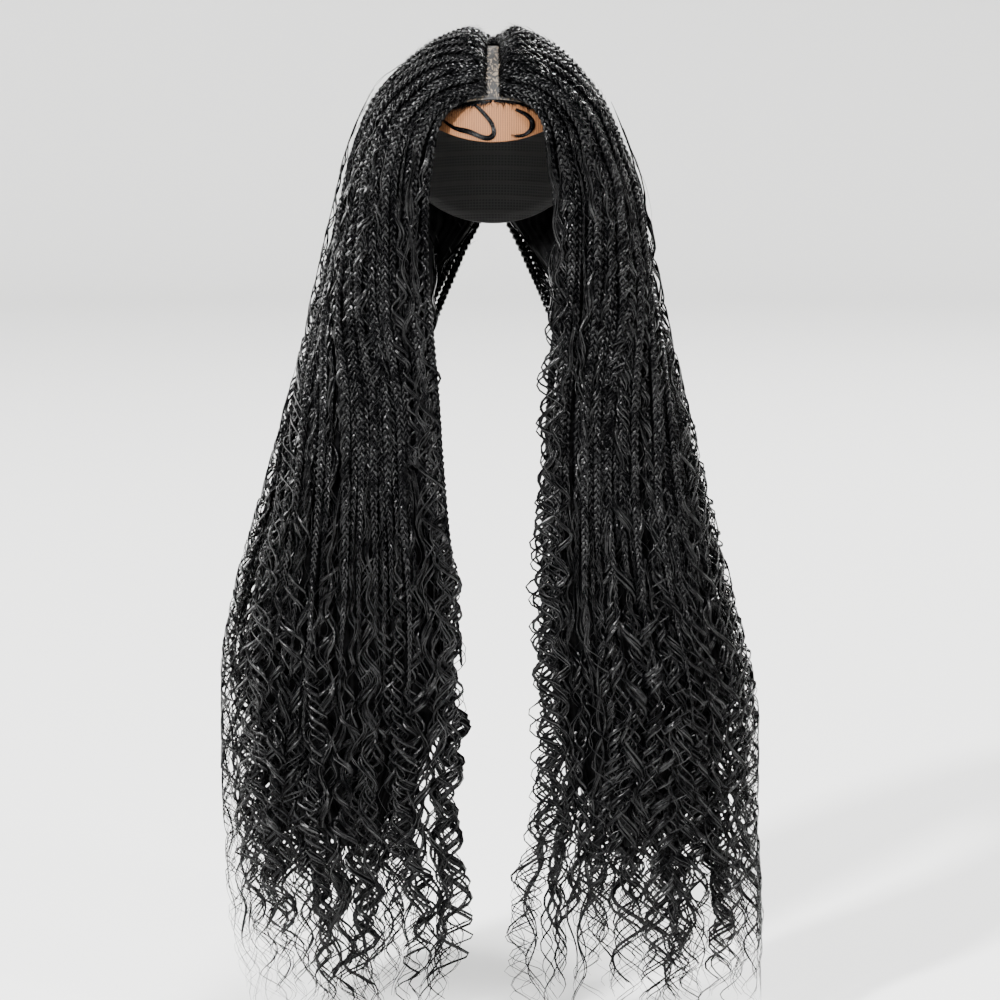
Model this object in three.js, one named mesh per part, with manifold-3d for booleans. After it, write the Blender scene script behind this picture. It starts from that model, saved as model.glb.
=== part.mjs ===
// A long braid wig with a centre parting, in millimetres, +Z up, the face opening towards -Y.
// The origin is the inside of the cap at the crown, where the top of a head touches it.
// Every braid leaves the parting sideways, turns down and hangs in one of two masses that
// lie in front of the shoulders, with loose curls below the braids' tails.

import * as THREE from 'three';
import { mergeVertices } from 'three/addons/utils/BufferGeometryUtils.js';
import Module from 'manifold-3d';

const wasm = await Module();
wasm.setup();

// Driving dimensions.
const clearance = 0.3;
const head = {
  halfWidth: 76,
  halfLength: 95,
  rise: 95,
  jawDrop: 75,
  jawShare: 0.93,
  neckDrop: 145,
  neckShare: 0.86,
};
const cap = { wall: 2, hairlineY: -76, napeY: 80, napeDrop: 152, around: 24, upright: 6 };
const lace = { wall: 1.2, halfWidth: 52, drop: 72, cornerDrop: 61, around: 24, upright: 12 };
const parting = { width: 12.6, wall: 1, whorlY: 24, steps: 12 };
const hair = { halfWidth: 232, front: 120, back: 118, length: 830 };
const braid = { width: 8, tailWidth: 2.6, perSide: 14, sides: 5, seat: 0.6, rootShare: 0.8, rootRows: 2 };
const lock = {
  width: 31,
  tipWidth: 6,
  wave: 9,
  waveLength: 84,
  perSide: 13,
  sides: 4,
  steps: 10,
  inset: 0.5,
  lag: 0.4,
  rootShare: 0.45,
  growth: 3,
  swingGrowth: 2,
  taper: 1.3,
};
const rib = { slope: 0.33, wave: 4 };
const edgeHair = { width: 3.4, tipWidth: 1.4, sides: 5, stepsPerSpan: 3, swellStart: 0.12, swellSpan: 0.8 };

// Sections of the sheet that the outer braids lie in, from the parting down to the tips.
// inL and inR are the edges beside the face, outL and outR the widest places, mid is the back
// edge at the centre, F, S and B are front, side and back, and bow is how square the plan is.
const columns = ['inL', 'inR', 'outL', 'outR', 'mid', 'yF', 'yS', 'yB', 'zF', 'zS', 'zB', 'bow'];
// Over the head the lengths are shares of its half width (x), half length (y) and rise (z).
const overHead = [
  [0.095, 0.095, 0.095, 0.095, 0.006, -0.8, -0.28, 0.27, -0.33, 0.045, 0.04, 0.8],
  [0.24, 0.24, 0.27, 0.27, 0.006, -0.855, -0.27, 0.47, -0.345, 0.145, 0.09, 0.7],
  [0.4, 0.4, 0.6, 0.56, 0.006, -0.9, -0.21, 0.76, -0.39, 0.07, -0.04, 0.62],
  [0.53, 0.51, 0.93, 0.86, 0.006, -0.94, -0.15, 0.95, -0.48, -0.1, -0.22, 0.6],
  [0.63, 0.59, 1.32, 1.22, 0.006, -0.965, -0.06, 1.14, -0.65, -0.43, -0.55, 0.58],
  [0.7, 0.63, 1.58, 1.48, 0.006, -0.975, 0, 1.23, -0.93, -0.9, -1.0, 0.56],
  [0.73, 0.7, 1.72, 1.66, 0.02, -0.98, 0, 1.2, -1.28, -1.36, -1.5, 0.55],
];
// Below it they are shares of the hair's half width (x), its front and back (y) and length (z).
const belowHead = [
  [0.235, 0.235, 0.65, 0.61, 0.11, -0.8, -0.08, 0.74, -0.248, -0.262, -0.232, 0.52],
  [0.205, 0.205, 0.745, 0.7, 0.26, -0.87, -0.24, 0.24, -0.354, -0.367, -0.335, 0.5],
  [0.175, 0.19, 0.85, 0.79, 0.3, -0.93, -0.36, -0.02, -0.46, -0.474, -0.45, 0.48],
  [0.125, 0.18, 0.955, 0.885, 0.28, -0.98, -0.42, -0.08, -0.566, -0.578, -0.562, 0.46],
  [0.11, 0.185, 1, 0.97, 0.25, -1, -0.45, -0.1, -0.672, -0.684, -0.672, 0.46],
  [0.145, 0.165, 0.985, 0.975, 0.24, -1, -0.47, -0.12, -0.778, -0.79, -0.78, 0.48],
  [0.13, 0.15, 0.925, 0.985, 0.26, -0.97, -0.48, -0.17, -0.88, -0.885, -0.88, 0.55],
  [0.26, 0.22, 0.81, 0.9, 0.36, -0.93, -0.5, -0.25, -0.98, -0.98, -0.98, 0.7],
];
// How finely a section is walked along, and the step over which a direction is measured.
const walk = { steps: 60, probe: 0.02 };
// The rows at which the solids have a ring of points, and where the body starts to close.
const bodyRows = [0, 1, 2, 3, 4, 5, 6, 6.5, 7, 7.5, 8, 9, 10, 11, 11.5, 12, 12.5];
const bodyEnd = { startRow: 11, close: 0.55 };
// How far the body's inner face lies under the sheet's edges, as shares of the head's half width.
const core = { overHead: 0.42, belowHead: 0.21 };
const lockStartRow = 11.4;
const braidFullRow = 8.5;
const braidTails = [10.6, 11, 10.3, 10.9, 11.2, 10.4, 10.8];
const tailGap = 0.2;
const lockTips = [14, 13.4, 13.8, 13.1, 13.9, 13.5];

// Routes of the two short hairs laid on the lace, as x and drop below the crown.
const edgeRoutes = {
  left: [[-16, 41], [-9, 47], [-1, 57], [0.5, 65], [-6, 68.5], [-20, 64], [-31, 61.5], [-39, 57.5]],
  right: [[19, 45], [27, 49], [33, 55], [32.5, 62], [26, 66.5], [15, 67]],
};

// Finishes.
function hairFinish(shade) {
  return new THREE.MeshStandardMaterial({ color: shade, roughness: 0.48, metalness: 0 });
}

function laceFinish(shade) {
  return new THREE.MeshStandardMaterial({ color: shade, roughness: 0.85, metalness: 0 });
}

const finishes = {
  braid: hairFinish(0x17171a),
  body: hairFinish(0x111113),
  edge: hairFinish(0x141416),
  cap: laceFinish(0x1b1a1b),
  lace: laceFinish(0xc29a7c),
  parting: laceFinish(0xb39379),
};

// Solids.
function toSolid(geometry) {
  const bare = geometry.clone();
  bare.deleteAttribute('normal');
  bare.deleteAttribute('uv');
  const merged = mergeVertices(bare, 1e-4);
  return new wasm.Manifold(new wasm.Mesh({
    numProp: 3,
    vertProperties: new Float32Array(merged.attributes.position.array),
    triVerts: new Uint32Array(merged.index.array),
  }));
}

function toGeometry(solid) {
  const mesh = solid.getMesh();
  const geometry = new THREE.BufferGeometry();
  geometry.setAttribute('position', new THREE.BufferAttribute(mesh.vertProperties.slice(), 3));
  geometry.setIndex(new THREE.BufferAttribute(mesh.triVerts.slice(), 1));
  geometry.computeVertexNormals();
  return geometry;
}

function named(name, geometry, material) {
  const mesh = new THREE.Mesh(geometry, material);
  mesh.name = name;
  return mesh;
}

function ringMiddle(ring) {
  return ring.reduce((sum, p) => sum.add(p), new THREE.Vector3()).divideScalar(ring.length);
}

// A closed skin over rings of points that all have the same count, closed by a fan at each end.
// Its faces point out where each ring runs anticlockwise, seen from the ring after it.
function skin(rings) {
  const count = rings[0].length;
  const points = rings.flat();
  const first = points.push(ringMiddle(rings[0])) - 1;
  const last = points.push(ringMiddle(rings[rings.length - 1])) - 1;
  const faces = [];
  for (let i = 0; i < count; i++) {
    const next = (i + 1) % count;
    for (let row = 0; row + 1 < rings.length; row++) {
      const a = row * count + i;
      const b = row * count + next;
      faces.push(a, b, b + count, a, b + count, a + count);
    }
    const end = (rings.length - 1) * count;
    faces.push(first, next, i, last, end + i, end + next);
  }
  const geometry = new THREE.BufferGeometry().setFromPoints(points);
  geometry.setIndex(faces);
  geometry.computeVertexNormals();
  return geometry;
}

// A round, tapering strand: rings of points about a route, one corner of each towards the sheet.
function strand(route, normals, radii, sides) {
  const rings = route.map((centre, i) => {
    const before = route[Math.max(i - 1, 0)];
    const after = route[Math.min(i + 1, route.length - 1)];
    const along = after.clone().sub(before).normalize();
    const across = along.clone().cross(normals[i]).normalize();
    const out = across.clone().cross(along).normalize();
    return Array.from({ length: sides }, (_, k) => {
      const angle = Math.PI + (2 * Math.PI * k) / sides;
      const arm = out.clone().multiplyScalar(Math.cos(angle)).addScaledVector(across, Math.sin(angle));
      return centre.clone().addScaledVector(arm, radii[i]);
    });
  });
  return skin(rings);
}

// A solid of the head's own shape, grown by the given amount, that goes down to the given drop.
function headSolid(grow, around, upright, drop) {
  const halfWidth = head.halfWidth + grow;
  const rise = head.rise + grow;
  const jaw = -head.rise - (drop - head.rise) * (head.jawDrop / head.neckDrop);
  const profile = [];
  for (let i = 0; i <= upright; i++) {
    const angle = (Math.PI / 2) * (i / upright);
    const across = halfWidth * Math.cos(angle);
    profile.push(new THREE.Vector2(across, -head.rise + rise * Math.sin(angle)));
  }
  profile[upright].x = 0;
  const below = [
    new THREE.Vector2(0, -drop),
    new THREE.Vector2(halfWidth * head.neckShare, -drop),
    new THREE.Vector2(halfWidth * head.jawShare, jaw),
  ];
  const dome = new THREE.LatheGeometry([...below, ...profile], around);
  const long = (head.halfLength + grow) / (head.halfWidth + grow);
  dome.rotateX(Math.PI / 2);
  dome.scale(1, long, 1);
  return toSolid(dome);
}

const headDepth = head.rise + head.neckDrop;
const hairlineDrop = head.rise * (1 - Math.sqrt(1 - (cap.hairlineY / head.halfLength) ** 2));
const edgeSlope = Math.atan2(cap.napeDrop - hairlineDrop, cap.napeY - cap.hairlineY);

// Everything below the cap's slanted edge, which runs from the hairline down to the nape.
function belowEdge(lift) {
  const size = 4 * headDepth;
  const box = new THREE.BoxGeometry(size, size, size);
  box.translate(0, 0, -size / 2 + lift);
  box.rotateX(-edgeSlope);
  box.translate(0, cap.hairlineY, -hairlineDrop);
  return toSolid(box);
}

function makeCap() {
  const shell = headSolid(cap.wall, cap.around, cap.upright, headDepth)
    .subtract(headSolid(0, cap.around, cap.upright, headDepth + cap.wall));
  return named('cap', toGeometry(shell.subtract(belowEdge(0))), finishes.cap);
}

// The sheer front below the hairline, rounded down at the middle and hidden by hair at its sides.
function makeLaceFront() {
  const outline = new THREE.Shape();
  outline.moveTo(-lace.halfWidth, 0);
  outline.lineTo(lace.halfWidth, 0);
  outline.lineTo(lace.halfWidth, -lace.cornerDrop);
  outline.quadraticCurveTo(0, lace.cornerDrop - 2 * lace.drop, -lace.halfWidth, -lace.cornerDrop);
  const block = new THREE.ExtrudeGeometry(outline, {
    depth: head.halfLength,
    bevelEnabled: false,
    curveSegments: 8,
  });
  block.rotateX(Math.PI / 2);
  const sheer = headSolid(lace.wall, lace.around, lace.upright, headDepth)
    .subtract(headSolid(0, lace.around, lace.upright, headDepth + lace.wall));
  const piece = sheer.intersect(toSolid(block)).intersect(belowEdge(-clearance));
  return named('lace_front', toGeometry(piece), finishes.lace);
}

// The head's height over the given place, grown by the given amount.
function headTop(x, y, grow) {
  const share = 1 - (x / (head.halfWidth + grow)) ** 2 - (y / (head.halfLength + grow)) ** 2;
  return -head.rise + (head.rise + grow) * Math.sqrt(share);
}

// The head's front at the given place on the forehead, grown by the given amount.
function headFront(x, drop, grow) {
  const height = (head.rise - drop) / (head.rise + grow);
  const share = 1 - (x / (head.halfWidth + grow)) ** 2 - height ** 2;
  return -(head.halfLength + grow) * Math.sqrt(share);
}

// The direction straight off the head at the given place.
function headNormal(p) {
  const x = p.x / head.halfWidth ** 2;
  const y = p.y / head.halfLength ** 2;
  const z = (p.z + head.rise) / head.rise ** 2;
  return new THREE.Vector3(x, y, z).normalize();
}

// A band over the crown in side view: from low to high above the head, over the parting's length.
function partingBand(low, high, width, frontY, backY) {
  const outline = new THREE.Shape();
  const long = head.halfLength + cap.wall;
  const start = Math.asin(frontY / long);
  const end = Math.asin(backY / long);
  const place = (i, grow) => {
    const y = long * Math.sin(start + (end - start) * (i / parting.steps));
    return new THREE.Vector2(y, headTop(0, y, cap.wall) + grow);
  };
  for (let i = 0; i <= parting.steps; i++) {
    const p = place(i, low);
    if (i === 0) outline.moveTo(p.x, p.y);
    else outline.lineTo(p.x, p.y);
  }
  for (let i = parting.steps; i >= 0; i--) {
    const p = place(i, high);
    outline.lineTo(p.x, p.y);
  }
  const band = new THREE.ExtrudeGeometry(outline, { depth: width, bevelEnabled: false });
  band.translate(0, 0, -width / 2);
  band.rotateX(Math.PI / 2);
  band.rotateZ(Math.PI / 2);
  return band;
}

function makePartingStrip() {
  const front = cap.hairlineY + clearance;
  const strip = partingBand(clearance, clearance + parting.wall, parting.width, front, parting.whorlY);
  return named('parting_strip', strip, finishes.parting);
}

// The hair sheet.
const sideSign = { left: -1, right: 1 };

// A row of the tables in millimetres, for one side.
function section(row, side) {
  const over = row < overHead.length;
  const values = over ? overHead[row] : belowHead[row - overHead.length];
  const shares = Object.fromEntries(columns.map((name, i) => [name, values[i]]));
  const wide = over ? head.halfWidth : hair.halfWidth;
  const ahead = over ? head.halfLength : hair.front;
  const behind = over ? head.halfLength : hair.back;
  const tall = over ? head.rise : hair.length;
  const near = side === 'left' ? shares.inL : shares.inR;
  const far = side === 'left' ? shares.outL : shares.outR;
  return {
    near: near * wide,
    far: far * wide,
    mid: shares.mid * wide,
    y: [shares.yF * ahead, shares.yS * ahead, shares.yB * behind],
    z: [shares.zF * tall, shares.zS * tall, shares.zB * tall],
    bow: shares.bow,
  };
}

// A smooth value that is front, side and back where the cosine is 1, 0 and -1.
function between([front, side, back], cosine) {
  return side + ((front - back) / 2) * cosine + ((front + back) / 2 - side) * cosine ** 2;
}

// The places of the columns on one row, an equal way apart along it.
function rowPoints(row, side, shares) {
  const s = section(row, side);
  const fine = walk.steps;
  const line = Array.from({ length: fine + 1 }, (_, i) => {
    const cosine = Math.cos((Math.PI * i) / fine);
    const sine = Math.sin((Math.PI * i) / fine);
    const edge = s.near + (s.mid - s.near) * (1 - cosine) / 2;
    const x = edge + (s.far - edge) * Math.max(sine, 0) ** s.bow;
    return new THREE.Vector3(sideSign[side] * x, between(s.y, cosine), between(s.z, cosine));
  });
  const way = [0];
  for (let i = 1; i <= fine; i++) way.push(way[i - 1] + line[i].distanceTo(line[i - 1]));
  return shares.map((share) => {
    const goal = share * way[fine];
    const i = Math.min(Math.max(way.findIndex((w) => w >= goal), 1), fine);
    return line[i - 1].clone().lerp(line[i], (goal - way[i - 1]) / (way[i] - way[i - 1]));
  });
}

// Columns from the parting to the tips, each a smooth curve through the rows.
function makeSheet(side) {
  const rows = overHead.length + belowHead.length;
  const columnAt = (share) => {
    const points = Array.from({ length: rows }, (_, row) => rowPoints(row, side, [share])[0]);
    return new THREE.CatmullRomCurve3(points, false, 'catmullrom', 0.5);
  };
  const columns = new Map();
  const column = (share) => {
    const key = share.toFixed(5);
    if (!columns.has(key)) columns.set(key, columnAt(share));
    return columns.get(key);
  };
  const point = (share, row) => column(share).getPoint(Math.min(row / (rows - 1), 1));
  const across = (share, row) => {
    const ahead = Math.min(share + walk.probe, 1);
    const behind = Math.max(share - walk.probe, 0);
    return point(ahead, row).sub(point(behind, row)).normalize();
  };
  const normal = (share, row) => {
    const lower = Math.min(row + walk.probe, rows - 1);
    const upper = Math.max(row - walk.probe, 0);
    const down = point(share, lower).sub(point(share, upper));
    return down.cross(across(share, row)).multiplyScalar(sideSign[side]).normalize();
  };
  const spacing = (row) => point(0.5 + 0.5 / braid.perSide, row).distanceTo(point(0.5, row)) * 2;
  return { side, point, across, normal, spacing };
}

// The braids.
const braidShare = (i) => (i + 0.5) / braid.perSide;
const braidTail = (i) => braidTails[i % braidTails.length];
const braidRoot = (i) => i % 2;

function braidRadius(row, tail) {
  const root = braid.rootShare + (1 - braid.rootShare) * Math.min(row / braid.rootRows, 1);
  const fade = Math.min(Math.max((row - braidFullRow) / (tail - braidFullRow), 0), 1);
  return (root * braid.width * (1 - fade) + braid.tailWidth * fade) / 2;
}

function makeBraid(sheet, i) {
  const tail = braidTail(i);
  const rows = bodyRows.filter((row) => row >= braidRoot(i) && row < tail - tailGap);
  rows.push(tail);
  const share = braidShare(i);
  const route = rows.map((row) => sheet.point(share, row));
  const normals = rows.map((row) => sheet.normal(share, row));
  const radii = rows.map((row) => braidRadius(row, tail));
  const name = 'braid_' + sheet.side + '_' + String(i + 1).padStart(2, '0');
  return named(name, strand(route, normals, radii, braid.sides), finishes.braid);
}

// The body of hair under the braids, with a groove below each braid and a rib beside it.
function bodyRing(sheet, row, index) {
  const places = 2 * braid.perSide;
  const seat = braid.width / 2 + braid.seat;
  const outer = Array.from({ length: places + 1 }, (_, i) => {
    const share = i / places;
    const onRib = i % 2 === 0 && i > 0 && i < places;
    const rise = onRib ? Math.min(rib.slope * sheet.spacing(row) / 2, seat) : 0;
    const wave = onRib && row > overHead.length ? rib.wave * (index % 2 ? 1 : -1) : 0;
    return sheet.point(share, row)
      .addScaledVector(sheet.normal(share, row), rise - seat)
      .addScaledVector(sheet.across(share, row), wave);
  });
  const depth = head.halfWidth * (row < overHead.length ? core.overHead : core.belowHead);
  const inner = [1, 0].map((share) => (
    sheet.point(share, row).addScaledVector(sheet.normal(share, row), -depth)
  ));
  const ring = [...outer, ...inner];
  const lastRow = bodyRows[bodyRows.length - 1];
  const ending = Math.max((row - bodyEnd.startRow) / (lastRow - bodyEnd.startRow), 0);
  const close = bodyEnd.close * ending ** 2;
  const middle = ringMiddle(ring);
  ring.forEach((p) => p.lerp(middle, close));
  return sheet.side === 'right' ? ring.reverse() : ring;
}

function makeLock(sheet, i) {
  const share = (i + 0.5) / lock.perSide;
  const tip = lockTips[i % lockTips.length];
  const steps = Array.from({ length: lock.steps + 1 }, (_, k) => k / lock.steps);
  const rows = steps.map((s) => lockStartRow + (tip - lockStartRow) * s);
  const normals = rows.map((row) => sheet.normal(share, row));
  const route = rows.map((row, k) => {
    const place = sheet.point(share, row);
    const across = new THREE.Vector3(0, 0, 1).cross(normals[k]).normalize();
    const swing = lock.wave * Math.sin((2 * Math.PI * place.z) / lock.waveLength + lock.lag * i);
    return place
      .addScaledVector(normals[k], -lock.width * lock.inset)
      .addScaledVector(across, swing * Math.min(lock.swingGrowth * steps[k], 1));
  });
  const radii = steps.map((s) => {
    const grown = Math.min(lock.rootShare + lock.growth * s, 1);
    const thin = s ** lock.taper;
    return (grown * lock.width * (1 - thin) + lock.tipWidth * thin) / 2;
  });
  return strand(route, normals, radii, lock.sides);
}

function makeHairBody(sheet) {
  const rings = bodyRows.map((row, index) => bodyRing(sheet, row, index));
  let solid = toSolid(skin(rings));
  for (let i = 0; i < lock.perSide; i++) solid = solid.add(toSolid(makeLock(sheet, i)));
  const hollow = headSolid(cap.wall + clearance, cap.around, cap.upright, headDepth);
  const trenchHeight = 4 * braid.width;
  const trenchWidth = parting.width + 2 * clearance;
  const trenchFront = cap.hairlineY - braid.width;
  const trench = partingBand(-cap.wall, trenchHeight, trenchWidth, trenchFront, parting.whorlY + clearance);
  solid = solid.subtract(hollow).subtract(toSolid(trench));
  return named('hair_body_' + sheet.side, toGeometry(solid), finishes.body);
}

// Short hairs laid on the lace beside the parting.
function makeEdgeHair(side) {
  const lift = lace.wall + clearance + edgeHair.width / 2;
  const places = edgeRoutes[side].map(([x, drop]) => new THREE.Vector3(x, headFront(x, drop, lift), -drop));
  const curve = new THREE.CatmullRomCurve3(places, false, 'catmullrom', 0.5);
  const steps = edgeHair.stepsPerSpan * (places.length - 1);
  const shares = Array.from({ length: steps + 1 }, (_, k) => k / steps);
  const route = shares.map((s) => curve.getPoint(s));
  const normals = route.map(headNormal);
  const radii = shares.map((s) => {
    const swell = Math.sin(Math.PI * (edgeHair.swellStart + edgeHair.swellSpan * s));
    return (edgeHair.tipWidth + (edgeHair.width - edgeHair.tipWidth) * swell) / 2;
  });
  return named('edge_hair_' + side, strand(route, normals, radii, edgeHair.sides), finishes.edge);
}

// The wig.
const wig = new THREE.Group();
wig.add(makeCap(), makeLaceFront(), makePartingStrip());
for (const side of ['left', 'right']) {
  const sheet = makeSheet(side);
  const half = new THREE.Group();
  half.add(makeHairBody(sheet));
  for (let i = 0; i < braid.perSide; i++) half.add(makeBraid(sheet, i));
  half.add(makeEdgeHair(side));
  wig.add(half);
}

export default wig;
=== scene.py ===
"""The looks of a long braid wig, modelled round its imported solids.

Every braid is plaited from three strands along a sheet that runs from the parting over the head
and down into two masses in front of the shoulders. Loose wavy locks fill the space between and
below the braids. Lengths are in metres unless a name says otherwise.
"""

import logging
import math
from dataclasses import dataclass, field
from enum import Enum
from typing import NamedTuple

import bpy
import numpy as np
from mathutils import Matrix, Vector


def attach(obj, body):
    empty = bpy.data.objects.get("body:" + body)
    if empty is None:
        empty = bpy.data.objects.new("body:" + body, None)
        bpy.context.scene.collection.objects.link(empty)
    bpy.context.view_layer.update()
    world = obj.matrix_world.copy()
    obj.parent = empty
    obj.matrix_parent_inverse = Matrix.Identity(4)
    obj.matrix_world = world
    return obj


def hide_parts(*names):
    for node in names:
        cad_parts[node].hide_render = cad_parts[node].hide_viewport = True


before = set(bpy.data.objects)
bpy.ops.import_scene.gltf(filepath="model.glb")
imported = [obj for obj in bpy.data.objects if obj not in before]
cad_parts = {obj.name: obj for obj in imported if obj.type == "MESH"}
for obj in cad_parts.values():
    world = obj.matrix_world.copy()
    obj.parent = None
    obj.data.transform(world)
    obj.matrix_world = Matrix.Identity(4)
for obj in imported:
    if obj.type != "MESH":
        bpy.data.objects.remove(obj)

LOG = logging.getLogger("braid_wig")
MM = 0.001
BODY = "root"
Array = np.ndarray


class Side(Enum):
    """The two halves of the hair, as signs along X."""

    LEFT = -1
    RIGHT = 1

    @property
    def word(self) -> str:
        """The side's name in piece and node names."""
        return self.name.lower()


class Weave(Enum):
    """How a net's threads lie: flat on the piece's UV map, or round the head by angle and height."""

    FLAT = "flat"
    ROUND = "round"


class Section(NamedTuple):
    """One row of the hair sheet, as shares of the head's or the hair's sizes."""

    in_left: float
    in_right: float
    out_left: float
    out_right: float
    mid: float
    y_front: float
    y_side: float
    y_back: float
    z_front: float
    z_side: float
    z_back: float
    bow: float


OVER_HEAD = (
    Section(0.095, 0.095, 0.095, 0.095, 0.006, -0.8, -0.28, 0.27, -0.33, 0.045, 0.04, 0.8),
    Section(0.24, 0.24, 0.27, 0.27, 0.006, -0.855, -0.27, 0.47, -0.345, 0.145, 0.09, 0.7),
    Section(0.4, 0.4, 0.6, 0.56, 0.006, -0.9, -0.21, 0.76, -0.39, 0.07, -0.04, 0.62),
    Section(0.53, 0.51, 0.93, 0.86, 0.006, -0.94, -0.15, 0.95, -0.48, -0.1, -0.22, 0.6),
    Section(0.63, 0.59, 1.32, 1.22, 0.006, -0.965, -0.06, 1.14, -0.65, -0.43, -0.55, 0.58),
    Section(0.7, 0.63, 1.58, 1.48, 0.006, -0.975, 0.0, 1.23, -0.93, -0.9, -1.0, 0.56),
    Section(0.73, 0.7, 1.72, 1.66, 0.02, -0.98, 0.0, 1.2, -1.28, -1.36, -1.5, 0.55),
)
BELOW_HEAD = (
    Section(0.235, 0.235, 0.65, 0.61, 0.11, -0.8, -0.08, 0.74, -0.248, -0.262, -0.232, 0.52),
    Section(0.205, 0.205, 0.745, 0.7, 0.26, -0.87, -0.24, 0.24, -0.354, -0.367, -0.335, 0.5),
    Section(0.175, 0.19, 0.85, 0.79, 0.3, -0.93, -0.36, -0.02, -0.46, -0.474, -0.45, 0.48),
    Section(0.125, 0.18, 0.955, 0.885, 0.28, -0.98, -0.42, -0.08, -0.566, -0.578, -0.562, 0.46),
    Section(0.11, 0.185, 1.0, 0.97, 0.25, -1.0, -0.45, -0.1, -0.672, -0.684, -0.672, 0.46),
    Section(0.145, 0.165, 0.985, 0.975, 0.24, -1.0, -0.47, -0.12, -0.778, -0.79, -0.78, 0.48),
    Section(0.13, 0.15, 0.925, 0.985, 0.26, -0.97, -0.48, -0.17, -0.88, -0.885, -0.88, 0.55),
    Section(0.26, 0.22, 0.81, 0.9, 0.36, -0.93, -0.5, -0.25, -0.98, -0.98, -0.98, 0.7),
)


@dataclass(frozen=True)
class HeadSize:
    """The head that the cap fits: half width, half length and the rise from its widest place."""

    half_width: float = 76 * MM
    half_length: float = 95 * MM
    rise: float = 95 * MM
    jaw_drop: float = 75 * MM
    jaw_share: float = 0.93
    neck_drop: float = 145 * MM
    neck_share: float = 0.86

    def top(self, x: Array, y: Array, grow: float) -> Array:
        """Height of the head's ellipsoid, grown by a wall.

        Args:
            x: places across.
            y: places along, the same shape.
            grow: how far the surface stands off the head.

        Returns:
            Heights, the root of one less both squared shares, times the grown rise.
        """
        share = 1 - (x / (self.half_width + grow)) ** 2 - (y / (self.half_length + grow)) ** 2
        return -self.rise + (self.rise + grow) * np.sqrt(np.maximum(share, 0))

    def girth(self, z: Array, grow: float) -> Array:
        """The head's width and length at a height, as a share of the widest.

        Args:
            z: heights.
            grow: how far the surface stands off the head.

        Returns:
            Above the widest place the root of one less the squared height share; below it a slow
            straight taper to the jaw and on to the neck.
        """
        dome = np.sqrt(np.maximum(1 - (np.maximum(z + self.rise, 0) / (self.rise + grow)) ** 2, 0))
        drops = (-self.rise - self.neck_drop, -self.rise - self.jaw_drop, -self.rise)
        taper = np.interp(z, drops, (self.neck_share, self.jaw_share, 1.0))
        return np.where(z > -self.rise, dome, taper)

    def clear(self, points: Array, grow: float) -> Array:
        """Moves the points that lie inside the head out to its surface.

        Args:
            points: any array with a last axis of 3.
            grow: how far the surface stands off the head.

        Returns:
            The points, those inside moved straight away from the head's middle line, and above the
            widest place from its middle point.
        """
        wide, long, tall = self.half_width + grow, self.half_length + grow, self.rise + grow
        x, y, z = points[..., 0] / wide, points[..., 1] / long, (points[..., 2] + self.rise) / tall
        flat = np.sqrt(x**2 + y**2)
        upper = np.sqrt(flat**2 + z**2)
        over = points[..., 2] > -self.rise
        lower = flat / np.maximum(self.girth(points[..., 2], grow), 1e-4)
        reach = np.maximum(np.where(over, upper, lower), 1e-4)
        inside = (reach < 1) & (points[..., 2] > -self.rise - self.neck_drop)
        push = np.where(inside, 1 / reach, 1)
        moved = points.copy()
        moved[..., 0] *= push
        moved[..., 1] *= push
        moved[..., 2] = np.where(over & inside, -self.rise + z * push * tall, points[..., 2])
        return moved

    def front(self, x: Array, z: Array, grow: float) -> Array:
        """The forehead's place along Y at given places across and heights.

        Args:
            x: places across.
            z: heights, the same shape.
            grow: how far the surface stands off the head.

        Returns:
            Places along Y on the head's front half.
        """
        height = (z + self.rise) / (self.rise + grow)
        share = 1 - (x / (self.half_width + grow)) ** 2 - height**2
        return -(self.half_length + grow) * np.sqrt(np.maximum(share, 0))


@dataclass(frozen=True)
class HairSize:
    """The hair's half width, its depth ahead of and behind the crown, and its length."""

    half_width: float = 232 * MM
    front: float = 120 * MM
    back: float = 118 * MM
    length: float = 830 * MM


HEAD = HeadSize()
HAIR = HairSize()
# Places across and drops below the crown that the two laid locks run through, in millimetres.
EDGE_ROUTES = {
    Side.LEFT: (
        (-16, 41), (-9, 47), (-1, 57), (0.5, 65), (-6, 68.5),
        (-20, 64), (-31, 61.5), (-39, 57.5), (-46, 52),
    ),
    Side.RIGHT: ((19, 45), (27, 49), (33, 55), (32.5, 62), (26, 66.5), (15, 67)),
}
CAP_WALL = 2 * MM
LACE_WALL = 1.2 * MM
CLEARANCE = 0.3 * MM
CURL_WAVE = 42 * MM
# Metres along the fibre noise between the lightest and the darkest strand, so that no two look alike.
TONE_SHIFT = 37.0
FULL_TURN = 2 * math.pi


def unit(v: Array) -> Array:
    """Vectors scaled to length one, along the last axis.

    Args:
        v: any array of vectors.

    Returns:
        Each vector over its length.
    """
    return v / np.maximum(np.linalg.norm(v, axis=-1, keepdims=True), 1e-12)


def smooth_curve(points: Array, place: Array) -> Array:
    """A smooth curve through points, a cubic between each two.

    The point before the first and the one after the last are mirrored ones.

    Args:
        points: what the curve runs through, along the first axis.
        place: where to read it, counted in points.

    Returns:
        One entry for each place, of the shape of a point.
    """
    padded = np.concatenate([2 * points[:1] - points[1:2], points, 2 * points[-1:] - points[-2:-1]])
    i = np.minimum(place.astype(int), len(points) - 2)
    f = (place - i).reshape(-1, *[1] * (points.ndim - 1))
    a, b, c, d = (padded[i + k] for k in range(4))
    square, cube = 2 * a - 5 * b + 4 * c - d, 3 * b - a - 3 * c + d
    return 0.5 * (2 * b + (c - a) * f + square * f**2 + cube * f**3)


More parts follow.
